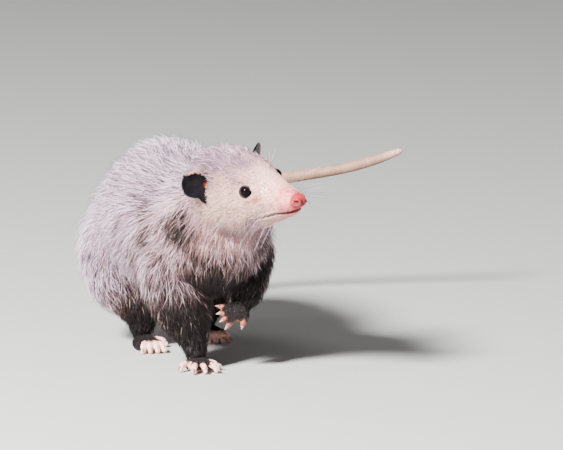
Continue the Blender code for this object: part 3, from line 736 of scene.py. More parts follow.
def hair_mesh(name, lines, outs, thick, marks, luck, root, guard=0.0, flat=0.55):
    """One mesh of closed, tapered, three-sided hairs, each with its patch in the OFBake map."""
    count, spots = lines.shape[:2]
    rings = spots - 2
    ahead = unit(lines[:, 2:] - lines[:, :-2])
    side = unit(np.cross(ahead, outs[:, 1:-1]))
    over = np.cross(side, ahead)
    t = np.linspace(0, 1, spots)
    swell = (np.sin(math.pi * (0.16 + 0.8 * t[1:-1])) ** 0.8)[None, :, None]
    half = thick[:, None, None] * swell
    corners = [lines[:, 1:-1] + side * half * math.cos(a) + over * half * flat * math.sin(a)
               for a in (math.pi / 2, math.pi * 7 / 6, math.pi * 11 / 6)]
    per = 2 + 3 * rings
    points = np.empty((count, per, 3))
    points[:, 0], points[:, -1] = lines[:, 0], lines[:, -1]
    points[:, 1:-1] = np.stack(corners, 2).reshape(count, 3 * rings, 3)
    points[..., 2] = np.maximum(points[..., 2], 0.1 + 0.4 * luck[:, None])
    faces = [(0, 1 + (k + 1) % 3, 1 + k) for k in range(3)]
    for r in range(rings - 1):
        a = 1 + 3 * r
        for k in range(3):
            n = (k + 1) % 3
            faces += [(a + k, a + n, a + 3 + n), (a + k, a + 3 + n, a + 3 + k)]
    a = 1 + 3 * (rings - 1)
    faces += [(a + k, a + (k + 1) % 3, per - 1) for k in range(3)]
    faces = np.array(faces)
    everywhere = (faces[None] + (np.arange(count) * per)[:, None, None]).reshape(-1, 3)
    mesh = bpy.data.meshes.new(name)
    mesh.vertices.add(count * per)
    mesh.vertices.foreach_set("co", points.astype(np.float32).ravel())
    mesh.loops.add(everywhere.size)
    mesh.loops.foreach_set("vertex_index", everywhere.ravel())
    mesh.polygons.add(len(everywhere))
    mesh.polygons.foreach_set("loop_start", np.arange(0, everywhere.size, 3))
    mesh.update(calc_edges=True)
    along = np.concatenate([[0], np.repeat(t[1:-1], 3), [1]])
    strand = np.zeros((count, per, 4))
    strand[..., 0], strand[..., 1], strand[..., 2] = along, luck[:, None], guard
    strand[..., 3] = eye_stain(to_head(root))[:, None]
    set_colours(mesh, "strand", strand)
    set_colours(mesh, "marks", np.repeat(marks[:, None], per, 1))
    across = np.concatenate([[0], np.tile((0, -1, 1), rings), [0]]) * PATCH_WIDE
    patch = patch_place(root)[:, None] + np.stack([across, (along - 0.5) * PATCH_HIGH], 1)
    uv = mesh.uv_layers.new(name="OFBake")
    uv.data.foreach_set("uv", patch.reshape(-1, 2)[everywhere.ravel()].astype(np.float32).ravel())
    obj = bpy.data.objects.new(name, mesh)
    bpy.context.scene.collection.objects.link(obj)
    return obj


# The surfaces that fur grows on, kept by the operators that build them
surfaces = {}


# Materials

class Value:
    """A number socket of a shader that takes part in arithmetic. Each operator adds its Math node."""

    def __init__(self, shader, socket):
        self.shader, self.socket = shader, socket

    def maths(self, operation, *terms):
        return self.shader.number("ShaderNodeMath", {"operation": operation}, dict(enumerate(terms)))

    def __add__(self, other):
        return self.maths("ADD", self, other)

    def __sub__(self, other):
        return self.maths("SUBTRACT", self, other)

    def __rsub__(self, other):
        return self.maths("SUBTRACT", other, self)

    def __mul__(self, other):
        return self.maths("MULTIPLY", self, other)

    __radd__, __rmul__ = __add__, __mul__

    def ease(self, low, high):
        """0 at low, 1 at high and smooth between."""
        return self.shader.number("ShaderNodeMapRange", {"interpolation_type": "SMOOTHSTEP"},
                                  {"Value": self, "From Min": low, "From Max": high})


class Shader:
    """A material and the nodes that paint it."""

    def __init__(self, name, roughness, **fixed):
        self.material = bpy.data.materials.new(name)
        self.material.use_nodes = True
        self.tree = self.material.node_tree
        self.surface = self.tree.nodes["Principled BSDF"]
        self.surface.inputs["Roughness"].default_value = roughness
        for socket, value in fixed.items():
            self.surface.inputs[socket.replace("_", " ")].default_value = value

    def node(self, kind, settings, sockets):
        """A node of any kind: its settings first, then the values or links of its sockets."""
        made = self.tree.nodes.new(kind)
        for key, value in settings.items():
            setattr(made, key, value)
        for key, value in sockets.items():
            self.feed(made.inputs[key], value)
        return made

    def feed(self, socket, value):
        """Links a socket to another one, or gives it a plain value."""
        if isinstance(value, Value):
            self.tree.links.new(value.socket, socket)
        elif isinstance(value, bpy.types.NodeSocket):
            self.tree.links.new(value, socket)
        else:
            socket.default_value = value

    def number(self, kind, settings, sockets):
        return Value(self, self.node(kind, settings, sockets).outputs[0])

    def mix(self, factor, a, b, blend="MIX"):
        """A colour between two others."""
        made = self.node("ShaderNodeMix", {"data_type": "RGBA", "blend_type": blend}, {})
        for index, value in ((0, factor), (6, a), (7, b)):
            self.feed(made.inputs[index], value)
        return made.outputs[2]

    def noise(self, scale, detail):
        """Uneven blotches of 0 to 1 over the object's own coordinates."""
        place = self.node("ShaderNodeTexCoord", {}, {}).outputs["Object"]
        return self.number("ShaderNodeTexNoise", {}, {"Vector": place, "Scale": scale, "Detail": detail})

    def attribute(self, name):
        """Four numbers kept on the mesh."""
        made = self.node("ShaderNodeAttribute", {"attribute_name": name}, {})
        parts = self.node("ShaderNodeSeparateColor", {}, {"Color": made.outputs["Color"]})
        return [Value(self, parts.outputs[k]) for k in range(3)] + [Value(self, made.outputs["Alpha"])]

    def finish(self, colour, bump=None, strength=0.4, distance=0.0003, roughness=None):
        """Feeds the surface and gives the material. distance is the height of the bumps in metres."""
        self.feed(self.surface.inputs["Base Color"], colour)
        if roughness is not None:
            self.feed(self.surface.inputs["Roughness"], roughness)
        if bump is not None:
            bumps = {"Height": bump, "Strength": strength, "Distance": distance}
            made = self.node("ShaderNodeBump", {}, bumps)
            self.tree.links.new(made.outputs[0], self.surface.inputs["Normal"])
        return self.material


def colours():
    """The palette of the scene."""
    return bpy.context.scene.opossum_colours


def coat_material():
    """Hair that is dark at the root and pale above it, each hair a little unlike the next."""
    shader = Shader("coat_hair", 0.55, Specular_IOR_Level=0.35)
    paint = colours()
    along, luck, guard, stain = shader.attribute("strand")
    cream, dark, pink, grey = shader.attribute("marks")
    tone = shader.mix(grey, paint.flank, paint.grey)
    tone = shader.mix(cream, tone, paint.cream)
    tone = shader.mix(pink * cream, tone, paint.blush)
    tone = shader.mix(stain * 0.9, tone, paint.tan)
    sooty = luck.ease(0.5, 0.64) * (1 - cream) * (1 - guard) * (0.35 + grey * 0.6)
    tone = shader.mix(sooty, tone, shader.mix(grey, paint.brown, paint.soot))
    peppered = (dark + luck * 0.9).ease(0.5, 1.0)
    tone = shader.mix(peppered, tone, paint.brown)
    tone = shader.mix((dark + luck * 0.4).ease(0.62, 1.02), tone, paint.dark)
    white = shader.mix(luck.ease(0.2, 0.5), paint.grey, paint.silver)
    white = shader.mix(dark.ease(0.1, 0.9), white, paint.warm_guard)
    tone = shader.mix(guard, tone, white)
    base = shader.mix(cream, paint.root, paint.pale_root)
    base = shader.mix(dark, base, paint.dark)
    rise = along - luck * 0.3 * (1 - 0.4 * cream) * (1 - guard)
    tone = shader.mix(rise.ease(0.14, 0.56), base, tone)
    vary = shader.mix(luck.ease(0.0, 0.8), paint.strand_shade, (1, 1, 1, 1))
    tone = shader.mix(0.6 - 0.3 * cream, tone, vary, "MULTIPLY")
    return shader.finish(tone)


def skin_material():
    """Skin under the coat, bare pink skin on the nose, lips and lids, dark lids and mouth line, and painted
    shade in the nostrils, the nose's cleft and under the nose.
    """
    shader = Shader("skin", 0.6, Specular_IOR_Level=0.3)
    paint = colours()
    cream, dark, _, _ = shader.attribute("marks")
    bare, deep, stain, dark_skin_and_shade = shader.attribute("bare")
    under = shader.mix(cream, paint.root, paint.cream)
    under = shader.mix(dark, under, paint.dark)
    flesh = shader.mix(shader.noise(90, 4).ease(0.35, 0.7), paint.nose, paint.muzzle)
    flesh = shader.mix(deep, flesh, paint.nose)
    tone = shader.mix(bare, under, flesh)
    tone = shader.mix(stain, tone, paint.tan)
    # The lid colour paints the dark lids and mouth line, and the painted shade in the nostrils, the cleft and
    # under the nose.
    tone = shader.mix(dark_skin_and_shade, tone, paint.lid)
    pores = shader.noise(1400, 2) * bare
    return shader.finish(tone, pores, 0.35, roughness=0.62 - 0.28 * deep + 0.36 * dark_skin_and_shade)


def eye_material():
    """Wet black, a little browner round the edge."""
    shader = Shader("eye", 0.04, Specular_IOR_Level=0.2, IOR=1.25)
    paint = colours()
    from_middle, _, _, _ = shader.attribute("strand")
    tone = shader.mix(from_middle.ease(0.55, 0.8), paint.eye, paint.eye_edge)
    return shader.finish(shader.mix(shader.noise(420, 2) * 0.2, tone, paint.eye_fleck))


def ear_material():
    """Matt black skin with a painted bluish sheen on the rim, a rusty worn edge and a red blush at the front.
    """
    shader = Shader("ear_skin", 0.7, Specular_IOR_Level=0.03)
    paint = colours()
    worn, blush, rim, _ = shader.attribute("strand")
    blotch = shader.noise(170, 4)
    patchy = blotch.ease(0.3, 0.55)
    tone = shader.mix(blotch.ease(0.45, 0.75) * 0.5, paint.ear, paint.ear_mottle)
    # Painted sheen: the rim is lightened bluish, as a reflection.
    tone = shader.mix(rim * 0.6, tone, paint.ear_rim_sheen)
    tone = shader.mix(blush * patchy, tone, paint.ear_blush)
    tone = shader.mix(worn * patchy, tone, paint.ear_edge)
    return shader.finish(tone, shader.noise(900, 3))


def foot_material():
    """Mottled pink toes and soles, dark skin under the fur of the foot, and painted shade on the toes of the
    lifted paw.
    """
    shader = Shader("foot_skin", 0.55)
    paint = colours()
    toes, sole, lifted, _ = shader.attribute("strand")
    mottle = shader.noise(240, 4)
    flesh = shader.mix(mottle.ease(0.3, 0.7), paint.toe, paint.toe_pale)
    # Painted shade: the lifted paw's toes are darkened as if in shadow.
    flesh = shader.mix(lifted, flesh, paint.lifted_toe_shade)
    tone = shader.mix((toes + mottle * 0.3).ease(0.45, 0.85), paint.dark, flesh)
    tone = shader.mix(sole, tone, flesh)
    return shader.finish(tone, shader.noise(700, 3), 0.5, 0.0004)


def claw_material():
    """Pale horn with darker streaks."""
    shader = Shader("claw_horn", 0.35)
    paint = colours()
    streaks = (shader.noise(500, 2) * 0.3 + 0.6).ease(0.2, 1.0)
    return shader.finish(shader.mix(streaks, paint.claw_root, paint.claw))


def tail_material():
    """Mottled bare skin, dark in the seams, greyer at the root and pink at the tip."""
    shader = Shader("tail_skin", 0.62)
    paint = colours()
    seam, share, _, _ = shader.attribute("strand")
    tone = shader.mix(shader.noise(70, 4).ease(0.3, 0.7), paint.tail, paint.tail_pale)
    tone = shader.mix(share.ease(0.45, 0.0) * 0.6, tone, paint.tail_root)
    tone = shader.mix(share.ease(0.93, 0.99) * 0.6, tone, paint.tail_tip)
    tone = shader.mix(seam * 0.7, tone, paint.tail_scale)
    return shader.finish(tone, shader.noise(1100, 3))


def floor_material():
    """Plain matt grey with a faint unevenness."""
    shader = Shader("floor", 0.8)
    paint = colours()
    return shader.finish(shader.mix(shader.noise(6, 3) * 0.12, paint.floor, paint.floor_light))


# Settings

def colour(name, description, value):
    """A setting that is an opaque colour."""
    return bpy.props.FloatVectorProperty(name=name, description=description, subtype="COLOR", size=4,
                                         min=0, max=1, default=(*value, 1))


def measure(name, description, default, low, high):
    """A setting that is a length in metres."""
    return bpy.props.FloatProperty(name=name, description=description, default=default, min=low, max=high,
                                   unit="LENGTH")


class OpossumColours(bpy.types.PropertyGroup):
    cream: colour("Cream", "Cheeks, throat and chest", (1.0, 0.66, 0.55))
    blush: colour("Blush", "Short fur of the muzzle", (0.96, 0.38, 0.39))
    flank: colour("Flank", "Warm pale fur of the sides", (0.87, 0.52, 0.56))
    grey: colour("Grey", "Underfur of the back and crown", (0.38, 0.25, 0.35))
    silver: colour("Silver", "Guard hair", (0.86, 0.67, 0.8))
    warm_guard: colour("Warm guard hair", "Guard hair over the dark fur", (0.5, 0.33, 0.28))
    brown: colour("Brown", "Fur between the pale and the dark parts", (0.19, 0.105, 0.09))
    dark: colour("Dark", "Legs and dark tips", (0.016, 0.01, 0.01))
    soot: colour("Soot", "Dark strands of the back", (0.12, 0.075, 0.105))
    root: colour("Root", "Base of the fur", (0.07, 0.045, 0.056))
    pale_root: colour("Pale root", "Base of the pale fur", (0.5, 0.3, 0.25))
    strand_shade: colour("Strand shade", "Darkens the dimmest strands", (0.3, 0.22, 0.24))
    tan: colour("Tan", "Tint below the eye", (0.6, 0.17, 0.06))
    nose: colour("Nose", "Bare skin of the nose", (0.31, 0.018, 0.022))
    muzzle: colour("Muzzle", "Skin of the muzzle", (0.94, 0.25, 0.26))
    # Lid is also the painted shade of the nostrils, the nose's cleft and the underside of the nose.
    lid: colour("Lid", "Rims of the lids and line of the mouth", (0.03, 0.02, 0.022))
    eye: colour("Eye", "Middle of the eye", (0.002, 0.0015, 0.002))
    eye_edge: colour("Eye edge", "Edge of the eye", (0.006, 0.0035, 0.003))
    eye_fleck: colour("Eye fleck", "Flecks in the eye", (0.01, 0.006, 0.005))
    ear: colour("Ear", "Bare skin of the ears", (0.004, 0.003, 0.004))
    ear_mottle: colour("Ear mottle", "Blotches of the ears", (0.01, 0.008, 0.009))
    # Painted bluish sheen on the ears' rims.
    ear_rim_sheen: colour("Ear rim", "Rim of the ears", (0.24, 0.24, 0.31))
    ear_blush: colour("Ear blush", "Red patch at the front of the ears", (0.35, 0.04, 0.015))
    ear_edge: colour("Ear edge", "Pale worn edge of the ears", (0.6, 0.27, 0.17))
    toe: colour("Toe", "Bare skin of the toes", (0.86, 0.38, 0.32))
    toe_pale: colour("Pale toe", "Paler blotches of the toes", (0.93, 0.58, 0.5))
    # Painted shade for the toes of the lifted paw.
    lifted_toe_shade: colour("Toe in the hollow", "Skin of the lifted toes", (0.34, 0.11, 0.065))
    claw: colour("Claw", "Horn of the claws", (0.42, 0.31, 0.25))
    claw_root: colour("Claw streak", "Darker streaks of the claws", (0.35, 0.2, 0.16))
    tail: colour("Tail", "Bare skin of the tail", (0.27, 0.13, 0.078))
    tail_pale: colour("Pale tail", "Paler blotches of the tail", (0.38, 0.21, 0.135))
    tail_root: colour("Tail root", "Greyer skin near the root", (0.3, 0.24, 0.25))
    tail_tip: colour("Tail tip", "Pinker skin at the tip", (0.88, 0.45, 0.36))
    tail_scale: colour("Tail scale", "Seams between the tail's scales", (0.2, 0.12, 0.1))
    floor: colour("Floor", "Studio floor", (0.43, 0.43, 0.42))
    floor_light: colour("Floor light", "Lighter blotches of the floor", (0.49, 0.49, 0.48))


class OpossumSizes(bpy.types.PropertyGroup):
    skin_voxel: measure("Skin detail", "Grid that the skin is fused on", 0.002, 0.001, 0.004)
    eye_radius: measure("Eye radius", "Radius of the eyeball", 0.0062, 0.004, 0.008)
    hair_width: measure("Hair width", "Half width of a wisp of underfur", 0.00042, 0.0002, 0.002)
    guard_width: measure("Guard hair width", "Half width of a guard hair", 0.00022, 0.0001, 0.001)
    whisker_length: measure("Whisker length", "Length of the longest whiskers", 0.062, 0.02, 0.08)
    claw_length: measure("Claw length", "Length of a claw past its toe", 0.0038, 0.003, 0.009)


def size(name):
    """One of the sizes, in millimetres."""
    return getattr(bpy.context.scene.opossum_sizes, name) / MM


def fields(first, second=0.0, third=0.0):
    """Three fields over a mesh's vertices, as the four numbers of a colour."""
    return np.stack(np.broadcast_arrays(first, second, third, 1.0), 1)


# Skin, eyes and ears

def far_forward(mesh):
    """How far forward each vertex is in the head's frame."""
    return to_head(read_points(mesh))[:, 0]


def at_features(points):
    """Whether each point is near an eye, the nose or the lips."""
    local = to_head(points)
    at_lips = (distance_to_line(local, LIPS) < 3.2) & (local[:, 0] > 34)
    return (min_ring(local) < 2.2) | (local[:, 0] > 80) | at_lips


def at_nose_or_lids(points):
    """Whether each point is on the pad of the nose or the margin of the lids."""
    local = to_head(points)
    return (local[:, 0] > 84) | (np.abs(min_ring(local) - 1.05) < 0.3)


def bare_marks(local):
    """Bare skin, deep pink, tear stain, and dark skin with painted shade, each 0 to 1, for the skin's own
    material. The last is dark lid and lip skin, and painted shade in the nostrils, the nose's cleft, the
    mouth's groove and under the nose.
    """
    f, l, u = local.T
    near = distance_to_line(local, LIPS)
    bare = np.maximum(ease(f, 58, 80), bell(near, 3.0) * ease(f, 34, 44))
    deep = np.maximum(ease(f, 82.5, 86) * ease(u, -20.5, -17), 0.35 * bell(near, 1.6) * ease(f, 60, 70))
    # Painted shade: the nostrils, the cleft of the nose and the underside of the nose are darkened. The
    # mouth's line is dark lip skin plus painted shade in its groove.
    holes = np.minimum(*(distance_to_line(local, mirrored(NOSTRIL[:2], side)) for _, side in SIDES))
    nostrils = 0.9 * bell(np.maximum(holes - 1.7, 0), 0.9)
    cleft = 0.5 * bell(np.abs(l), 1.1) * ease(f, 87, 91) * ease(u, -9, -12)
    under_nose = 0.7 * ease(f, 91.5, 96) * ease(u, -6, -12)
    mouth = 0.95 * bell(np.maximum(near - 1.35, 0), 1.0) * ease(f, 35, 39) * ease(f, 86, 82)
    lids = ease(min_ring(local), 1.42, 1.14)
    dark_skin_and_shade = np.maximum.reduce([lids, front_corner(local), mouth, nostrils, cleft, under_nose])
    return np.stack([bare, deep, 0.95 * eye_stain(local), dark_skin_and_shade], 1)


def build_skin():
    """One skin for trunk, head, nose, legs and root of the tail, finer and carved on the face."""
    bm = bmesh.new()
    sweep(bm, TRUNK_FORM, 40, 40)
    sweep(bm, HEAD_SKIN, 40, 44)
    sweep(bm, Form(NOSE, placed=True, cap=(0.4, 0.4)), 24, 16)
    for form in LEG_FORMS.values():
        sweep(bm, form, 24, 30)
    sweep(bm, Form(TAIL[:4], cap=(0.1, 0.5)), 24, 20)
    skin = fused(object_of("skin", bm), size("skin_voxel"))
    mesh = skin.data
    behind = ease(far_forward(mesh), -8, -30) * ease(read_points(mesh)[:, 2], 28, 50)
    relax(mesh, 14, 0.5, 0.12 + 0.88 * behind)
    relax(mesh, 4, 0.5)
    refine(mesh, lambda points: to_head(points)[:, 0] > 26)
    relax(mesh, 2, 0.5, ease(far_forward(mesh), 24, 30))
    for wanted in (at_features, at_nose_or_lids):
        refine(mesh, wanted)
        relax(mesh, 2, 0.5, ease(far_forward(mesh), 30, 36))
    write_points(mesh, carve_head(read_points(mesh), read_normals(mesh), size("eye_radius")))
    relax(mesh, 1, 0.35, ease(far_forward(mesh), 30, 36))
    surfaces["skin"] = Surface(skin)
    set_colours(mesh, "marks", surfaces["skin"].marks)
    set_colours(mesh, "bare", bare_marks(to_head(read_points(mesh))))
    finished(skin, skin_material(), ("torso", "neck", "head", "nose", *LEGS))


def build_eyes():
    """Two balls that bulge a little in the middle, where the cornea is."""
    material = eye_material()
    for name, side in SIDES:
        centre, looks, _, _ = eye_axes(side)
        bm = bmesh.new()
        bmesh.ops.create_uvsphere(bm, u_segments=48, v_segments=32, radius=1)
        turn = Vector(looks).to_track_quat("Z", "Y").to_matrix()
        for vert in bm.verts:
            bulge = 1 + 0.035 * float(bell(math.acos(max(-1, min(1, vert.co.z))), 0.9))
            vert.co = Vector(from_head(centre + np.array(turn @ vert.co) * size("eye_radius") * bulge))
        eye = object_of("eyeball_" + name, bm)
        off = unit(to_head(read_points(eye.data)) - centre) @ looks
        set_colours(eye.data, "strand", fields(np.arccos(np.clip(off, -1, 1))))
        finished(eye, material, ("eye_" + name,))


# Notches of the worn edge: turn from the ear's tip, depth and width. Bumps in the cup: turn and distance
EAR_NOTCHES = ((-0.45, 0.8, 0.1), (-0.8, 1.1, 0.12), (-1.2, 0.7, 0.09), (-1.55, 1.0, 0.13),
               (-0.1, -1.5, 0.16), (1.0, 0.5, 0.1))
EAR_BUMPS = ((1.95, 8.6), (2.3, 8.2), (-2.0, 7.5))
EAR_RIM_LEAN, EAR_ROOT, EAR_SINK = 1.42, -2.75, 6.5


def ear_axes(name):
    """Side, middle of the rim, and the directions that the ear faces, points and spreads in."""
    side, middle, faces, axis = EARS[name]
    faces = unit(faces)
    axis = unit(np.array(axis) - faces * np.dot(axis, faces))
    return side, np.array(middle, float), faces, axis, np.cross(faces, axis) * -side


def plain_reach(turn):
    """How far the rim is from the ear's middle without its lobe, by the turn from its tip."""
    return EAR_RADIUS + 0.9 * np.maximum(0, np.cos(turn))


def ear_reach(turn):
    """The same with the lobe at its lower front and a slight wave."""
    return plain_reach(turn) + 6.0 * bell(np.abs(turn - 2.69), 0.27) + 0.25 * np.sin(5 * turn + 1)


def turn_from(turn, at):
    """How far a turn is from another, the shorter way round."""
    return np.abs((turn - at + math.pi) % math.tau - math.pi)


def build_ears():
    """Two thin round cups with a pointed lobe, folded a little and worn along the top."""
    material = ear_material()
    for name in EARS:
        side, middle, faces, axis, across = ear_axes(name)
        bm = bmesh.new()
        bmesh.ops.create_uvsphere(bm, u_segments=144, v_segments=48, radius=1)
        ball = np.array([v.co for v in bm.verts])
        turn, lean = np.arctan2(ball[:, 1], ball[:, 0]), np.arccos(np.minimum(np.abs(ball[:, 2]), 1))
        spread = np.minimum(lean / EAR_RIM_LEAN, 1)
        thinned = np.minimum(1, (math.pi / 2 - lean) / (math.pi / 2 - EAR_RIM_LEAN))
        wall = np.sign(ball[:, 2]) * thinned * EAR_WALL / 2
        edge = ear_reach(turn) - plain_reach(turn)
        for at, deep, wide in EAR_NOTCHES:
            edge -= (deep if side == RIGHT else 0.4 * deep) * bell(np.abs(turn - at), wide)
        rooted = bell(turn_from(turn, EAR_ROOT), 1.0)
        cup = -EAR_CUP * (1 - spread ** 2) - 0.5 * ease(spread, 0.86, 1) * (1 - rooted)
        flat = spread * plain_reach(turn) + edge * ease(spread, 0.62, 1)
        for at, far in EAR_BUMPS:
            gap = np.hypot(flat * np.cos(turn) - far * math.cos(at), flat * np.sin(turn) - far * math.sin(at))
            cup += 0.4 * bell(gap, 2.6)
        inward = -unit(middle * (0, 1, 1))
        place = middle + (axis * np.cos(turn)[:, None] + across * np.sin(turn)[:, None]) * flat[:, None]
        place += faces * (cup + wall)[:, None] + inward * (EAR_SINK * rooted * spread ** 2)[:, None]
        for vert, co in zip(bm.verts, from_head(place)):
            vert.co = co
        worn = ease(spread, 0.84, 0.97) * bell(np.abs(turn + 0.75), 0.75)
        blush = bell(turn_from(turn, -2.5), 0.45) * bell(np.abs(spread - 0.78), 0.3)
        # rim is a painted bluish sheen: along the edge of the right ear, and over the tip half of the left
        # ear.
        rim = ease(spread, 0.955, 0.995) * ease(np.abs(turn - 1.2), 1.6, 1.0)
        if side == LEFT:
            worn = bell(np.abs(turn), 0.7) * ease(spread, 0.7, 0.95)
            rim = 0.9 * ease(np.cos(turn) * spread, 0.0, 0.6)
        ear = object_of("outer_" + name, bm)
        set_colours(ear.data, "strand", fields(worn, blush, rim))
        finished(ear, material, (name,))


def trimmed(lines, draw):
    """Shortens the hairs that would cross the cup of an ear. Also tells which are still worth keeping."""
    count, spots = lines.shape[:2]
    at = np.linspace(0, spots - 1, 13)
    low = np.minimum(at.astype(int), spots - 2)
    part = (at - low)[None, :, None]
    fine = to_head(lines[:, low] * (1 - part) + lines[:, low + 1] * part)
    keep = np.ones(count)
    for name in EARS:
        _, middle, faces, axis, across = ear_axes(name)
        off = fine - middle
        a, b, high = off @ axis, off @ across, off @ faces
        share = np.hypot(a, b) / ear_reach(np.arctan2(b, a))
        floor = -EAR_CUP * (1 - np.minimum(share, 1) ** 2) - 1.6
        inside = (share < draw.uniform(0.78, 1.03, count)[:, None]) & (high > floor) & (high < 15)
        keep = np.minimum(keep, np.where(inside.any(1), (inside.argmax(1) - 0.5) / 12, 1))
    return lines[:, :1] + (lines - lines[:, :1]) * np.maximum(keep, 0)[:, None, None], keep > 0.22


# Feet and tail

# Stations of a digit: shares of its reach ahead and up, and share of its radius
DIGIT = ((0.0, 0.0, 1.15), (0.3, 0.15, 1.0), (0.5, 0.15, 0.86), (0.72, 0.09, 0.92), (1.0, -0.07, 0.84))
# Stations of a claw: share of its length ahead, millimetres up, half width and half height
CLAW = ((0.25, 1.1, 1.05, 1.1), (0.7, 0.1, 0.7, 0.8), (1.0, -1.6, 0.22, 0.25))
INNER_TOE_SHARE, LEVEL, FOOT_VOXEL = 0.95, 0.9, 0.62


def add_claw(bm, tip, aim, up):
    """A tapered, down-curved claw on the end of a toe."""
    length = size("claw_length")
    rows = [(*(tip - aim * 2.2 + up * 0.9), 1.25, 1.15)]
    rows += [(*(tip + aim * length * ahead + up * high), wide, tall) for ahead, high, wide, tall in CLAW]
    sweep(bm, Form(rows, reference=up, cap=(0.1, 0.08)), 8, 10)


def digit_rows(name, turn):
    """Stations of one digit, its direction and its reach."""
    palm, way, up, _, (half_width, _, half_length, length, radius), inner = PAWS[name]
    palm, way, up = np.array(palm, float), unit(way), unit(up)
    aim = np.array(Matrix.Rotation(math.radians(turn), 3, Vector(up)) @ Vector(way))
    sideways = np.cross(up, way) * math.sin(math.radians(turn)) * half_width * 0.75
    root = palm + sideways + way * half_length * (-0.5 if abs(turn) > 50 else 0.55)
    reach = (INNER_TOE_SHARE if turn == inner else 1.0) * length * (1.0 if abs(turn) < 40 else 0.86)
    return [(*(root + aim * reach * a + up * reach * b), radius * r) for a, b, r in DIGIT], root, aim, reach


def build_foot(name, material, claws):
    """One foot: palm, digits and pads fused, with knuckles. A foot that stands is cut flat at the floor."""
    palm, way, up, turns, measures, inner = PAWS[name]
    palm, way, up = np.array(palm, float), unit(way), unit(up)
    half_width, half_height, half_length, length, radius = measures
    standing = up[2] > LEVEL
    bm = bmesh.new()
    rows = [(*(palm - way * half_length), half_width * 0.8, half_height), (*palm, half_width, half_height),
            (*(palm + way * half_length), half_width * 0.92, half_height * 0.85)]
    sweep(bm, Form(rows, reference=up, cap=(0.3, 0.3)), 24, 18)
    tips = []
    for turn in (*turns, inner):
        if turn is None:
            continue
        rows, root, aim, reach = digit_rows(name, turn)
        sweep(bm, Form(rows, reference=up, cap=(0.12, 0.2)), 14, 18)
        pad = root + aim * reach * 0.97 - up * (reach * 0.07 + radius * 0.35)
        bmesh.ops.create_uvsphere(bm, u_segments=12, v_segments=8, radius=radius * 0.78,
                                  matrix=Matrix.Translation(pad))
        tips.append(rows[-1][:3])
        if turn != inner:
            add_claw(claws, np.array(tips[-1]), aim, up)
    if standing:
        everything = bm.verts[:] + bm.edges[:] + bm.faces[:]
        bmesh.ops.bisect_plane(bm, geom=everything, plane_co=(0, 0, 0), plane_no=(0, 0, -1), clear_outer=True)
        bmesh.ops.holes_fill(bm, edges=[e for e in bm.edges if e.is_boundary])
    foot = fused(object_of("foot_" + name, bm), FOOT_VOXEL)
    relax(foot.data, 3, 0.5)
    points = read_points(foot.data)
    points += ripple(points, 2.6, 41)[:, None] * read_normals(foot.data) * 0.16
    if standing:
        points[:, 2] = np.maximum(points[:, 2], 0)
    write_points(foot.data, points)
    toes = np.zeros(len(points))
    for tip in tips:
        toes = np.maximum(toes, ease(np.linalg.norm(points - tip, axis=1), length * 0.95, length * 0.55))
    below = ease((points - palm) @ up, -half_height * 0.3, -half_height * 0.7)
    # The third field marks the lifted paw, whose toes get painted shade.
    set_colours(foot.data, "strand", fields(toes, below, float(not standing)))
    furred = surfaces[name] = Surface(foot)
    furred.lie = unit(way - furred.normals * (furred.normals @ way)[:, None] + 1e-6)
    furred.length[:], furred.depth[:], furred.marks[:] = 6.5, 1.7, (0, 1, 0, 0)
    furred.density = np.clip(1 - 1.15 * toes - below, 0, 1)
    finished(foot, material, (name,))


def build_feet():
    """The four feet with their toes and pads, and a claw on every toe but the inner hind ones."""
    material = foot_material()
    claws = bmesh.new()
    for name in PAWS:
        build_foot(name, material, claws)
    finished(object_of("claws", claws), claw_material())


ROW_OF_SCALES, SCALES_ROUND = 2.1, 22


def build_tail():
    """The bare tail, ringed with small scales whose seams are sunk."""
    bm = bmesh.new()
    sweep(bm, TAIL_FORM, 64, 560)
    tail = object_of("bare_tail", bm)
    points, normals = read_points(tail.data), read_normals(tail.data)
    share, angle, _, _ = TAIL_FORM.locate(points)
    centre, _, forward, _, _ = TAIL_FORM.at(share)
    share = share + ((points - centre) * forward).sum(1) / TAIL_FORM.length
    row = share * TAIL_FORM.length / ROW_OF_SCALES
    groove = np.abs((row % 1) - 0.5) * 2
    scale = (angle / math.tau * SCALES_ROUND + 0.5 * (np.floor(row) % 2)) % 1
    gap = np.abs(scale - 0.5) * 2
    seam = np.maximum(ease(groove, 0.62, 0.98), ease(gap, 0.7, 1.0) * 0.8)
    sunk = 0.26 * seam - 0.1 * bell(gap, 1) * bell(groove, 1)
    write_points(tail.data, points - normals * sunk[:, None])
    set_colours(tail.data, "strand", fields(seam, share))
    finished(tail, tail_material(), ("tail_1", "tail_2", "tail_3", "tail_4"))


# The coat's pieces

def body_region(root):
    """Which of the body's four regions each root is in."""
    left = root[:, 0] > 0
    return np.where(root[:, 1] > 5, np.where(left, 0, 1), np.where(left, 2, 3))


def head_region(root):
    """Which side of the head each root is on."""
    return (to_head(root)[:, 1] < 0).astype(int)


def whole_region(root):
    """One region for all roots."""
    return np.zeros(len(root), int)


BODY_REGIONS = (body_region, ("left_rump", "right_rump", "left_shoulder", "right_shoulder"))
HEAD_REGIONS = (head_region, ("left", "right"))


def plant(prefix, slot, regions, *hairs, guard=0.0, **lie):
    """Grows hairs and makes those of each region a piece of its own."""
    grown = grow_hairs(*hairs, **lie)
    region_of, names = regions
    region = region_of(grown[-1])
    for index, name in enumerate(names):
        chosen = region == index
        if chosen.any():
            tufts = hair_mesh(f"{prefix}_{name}", *(part[chosen] for part in grown), guard=guard)
            finished(tufts, bpy.data.materials["coat_hair"])


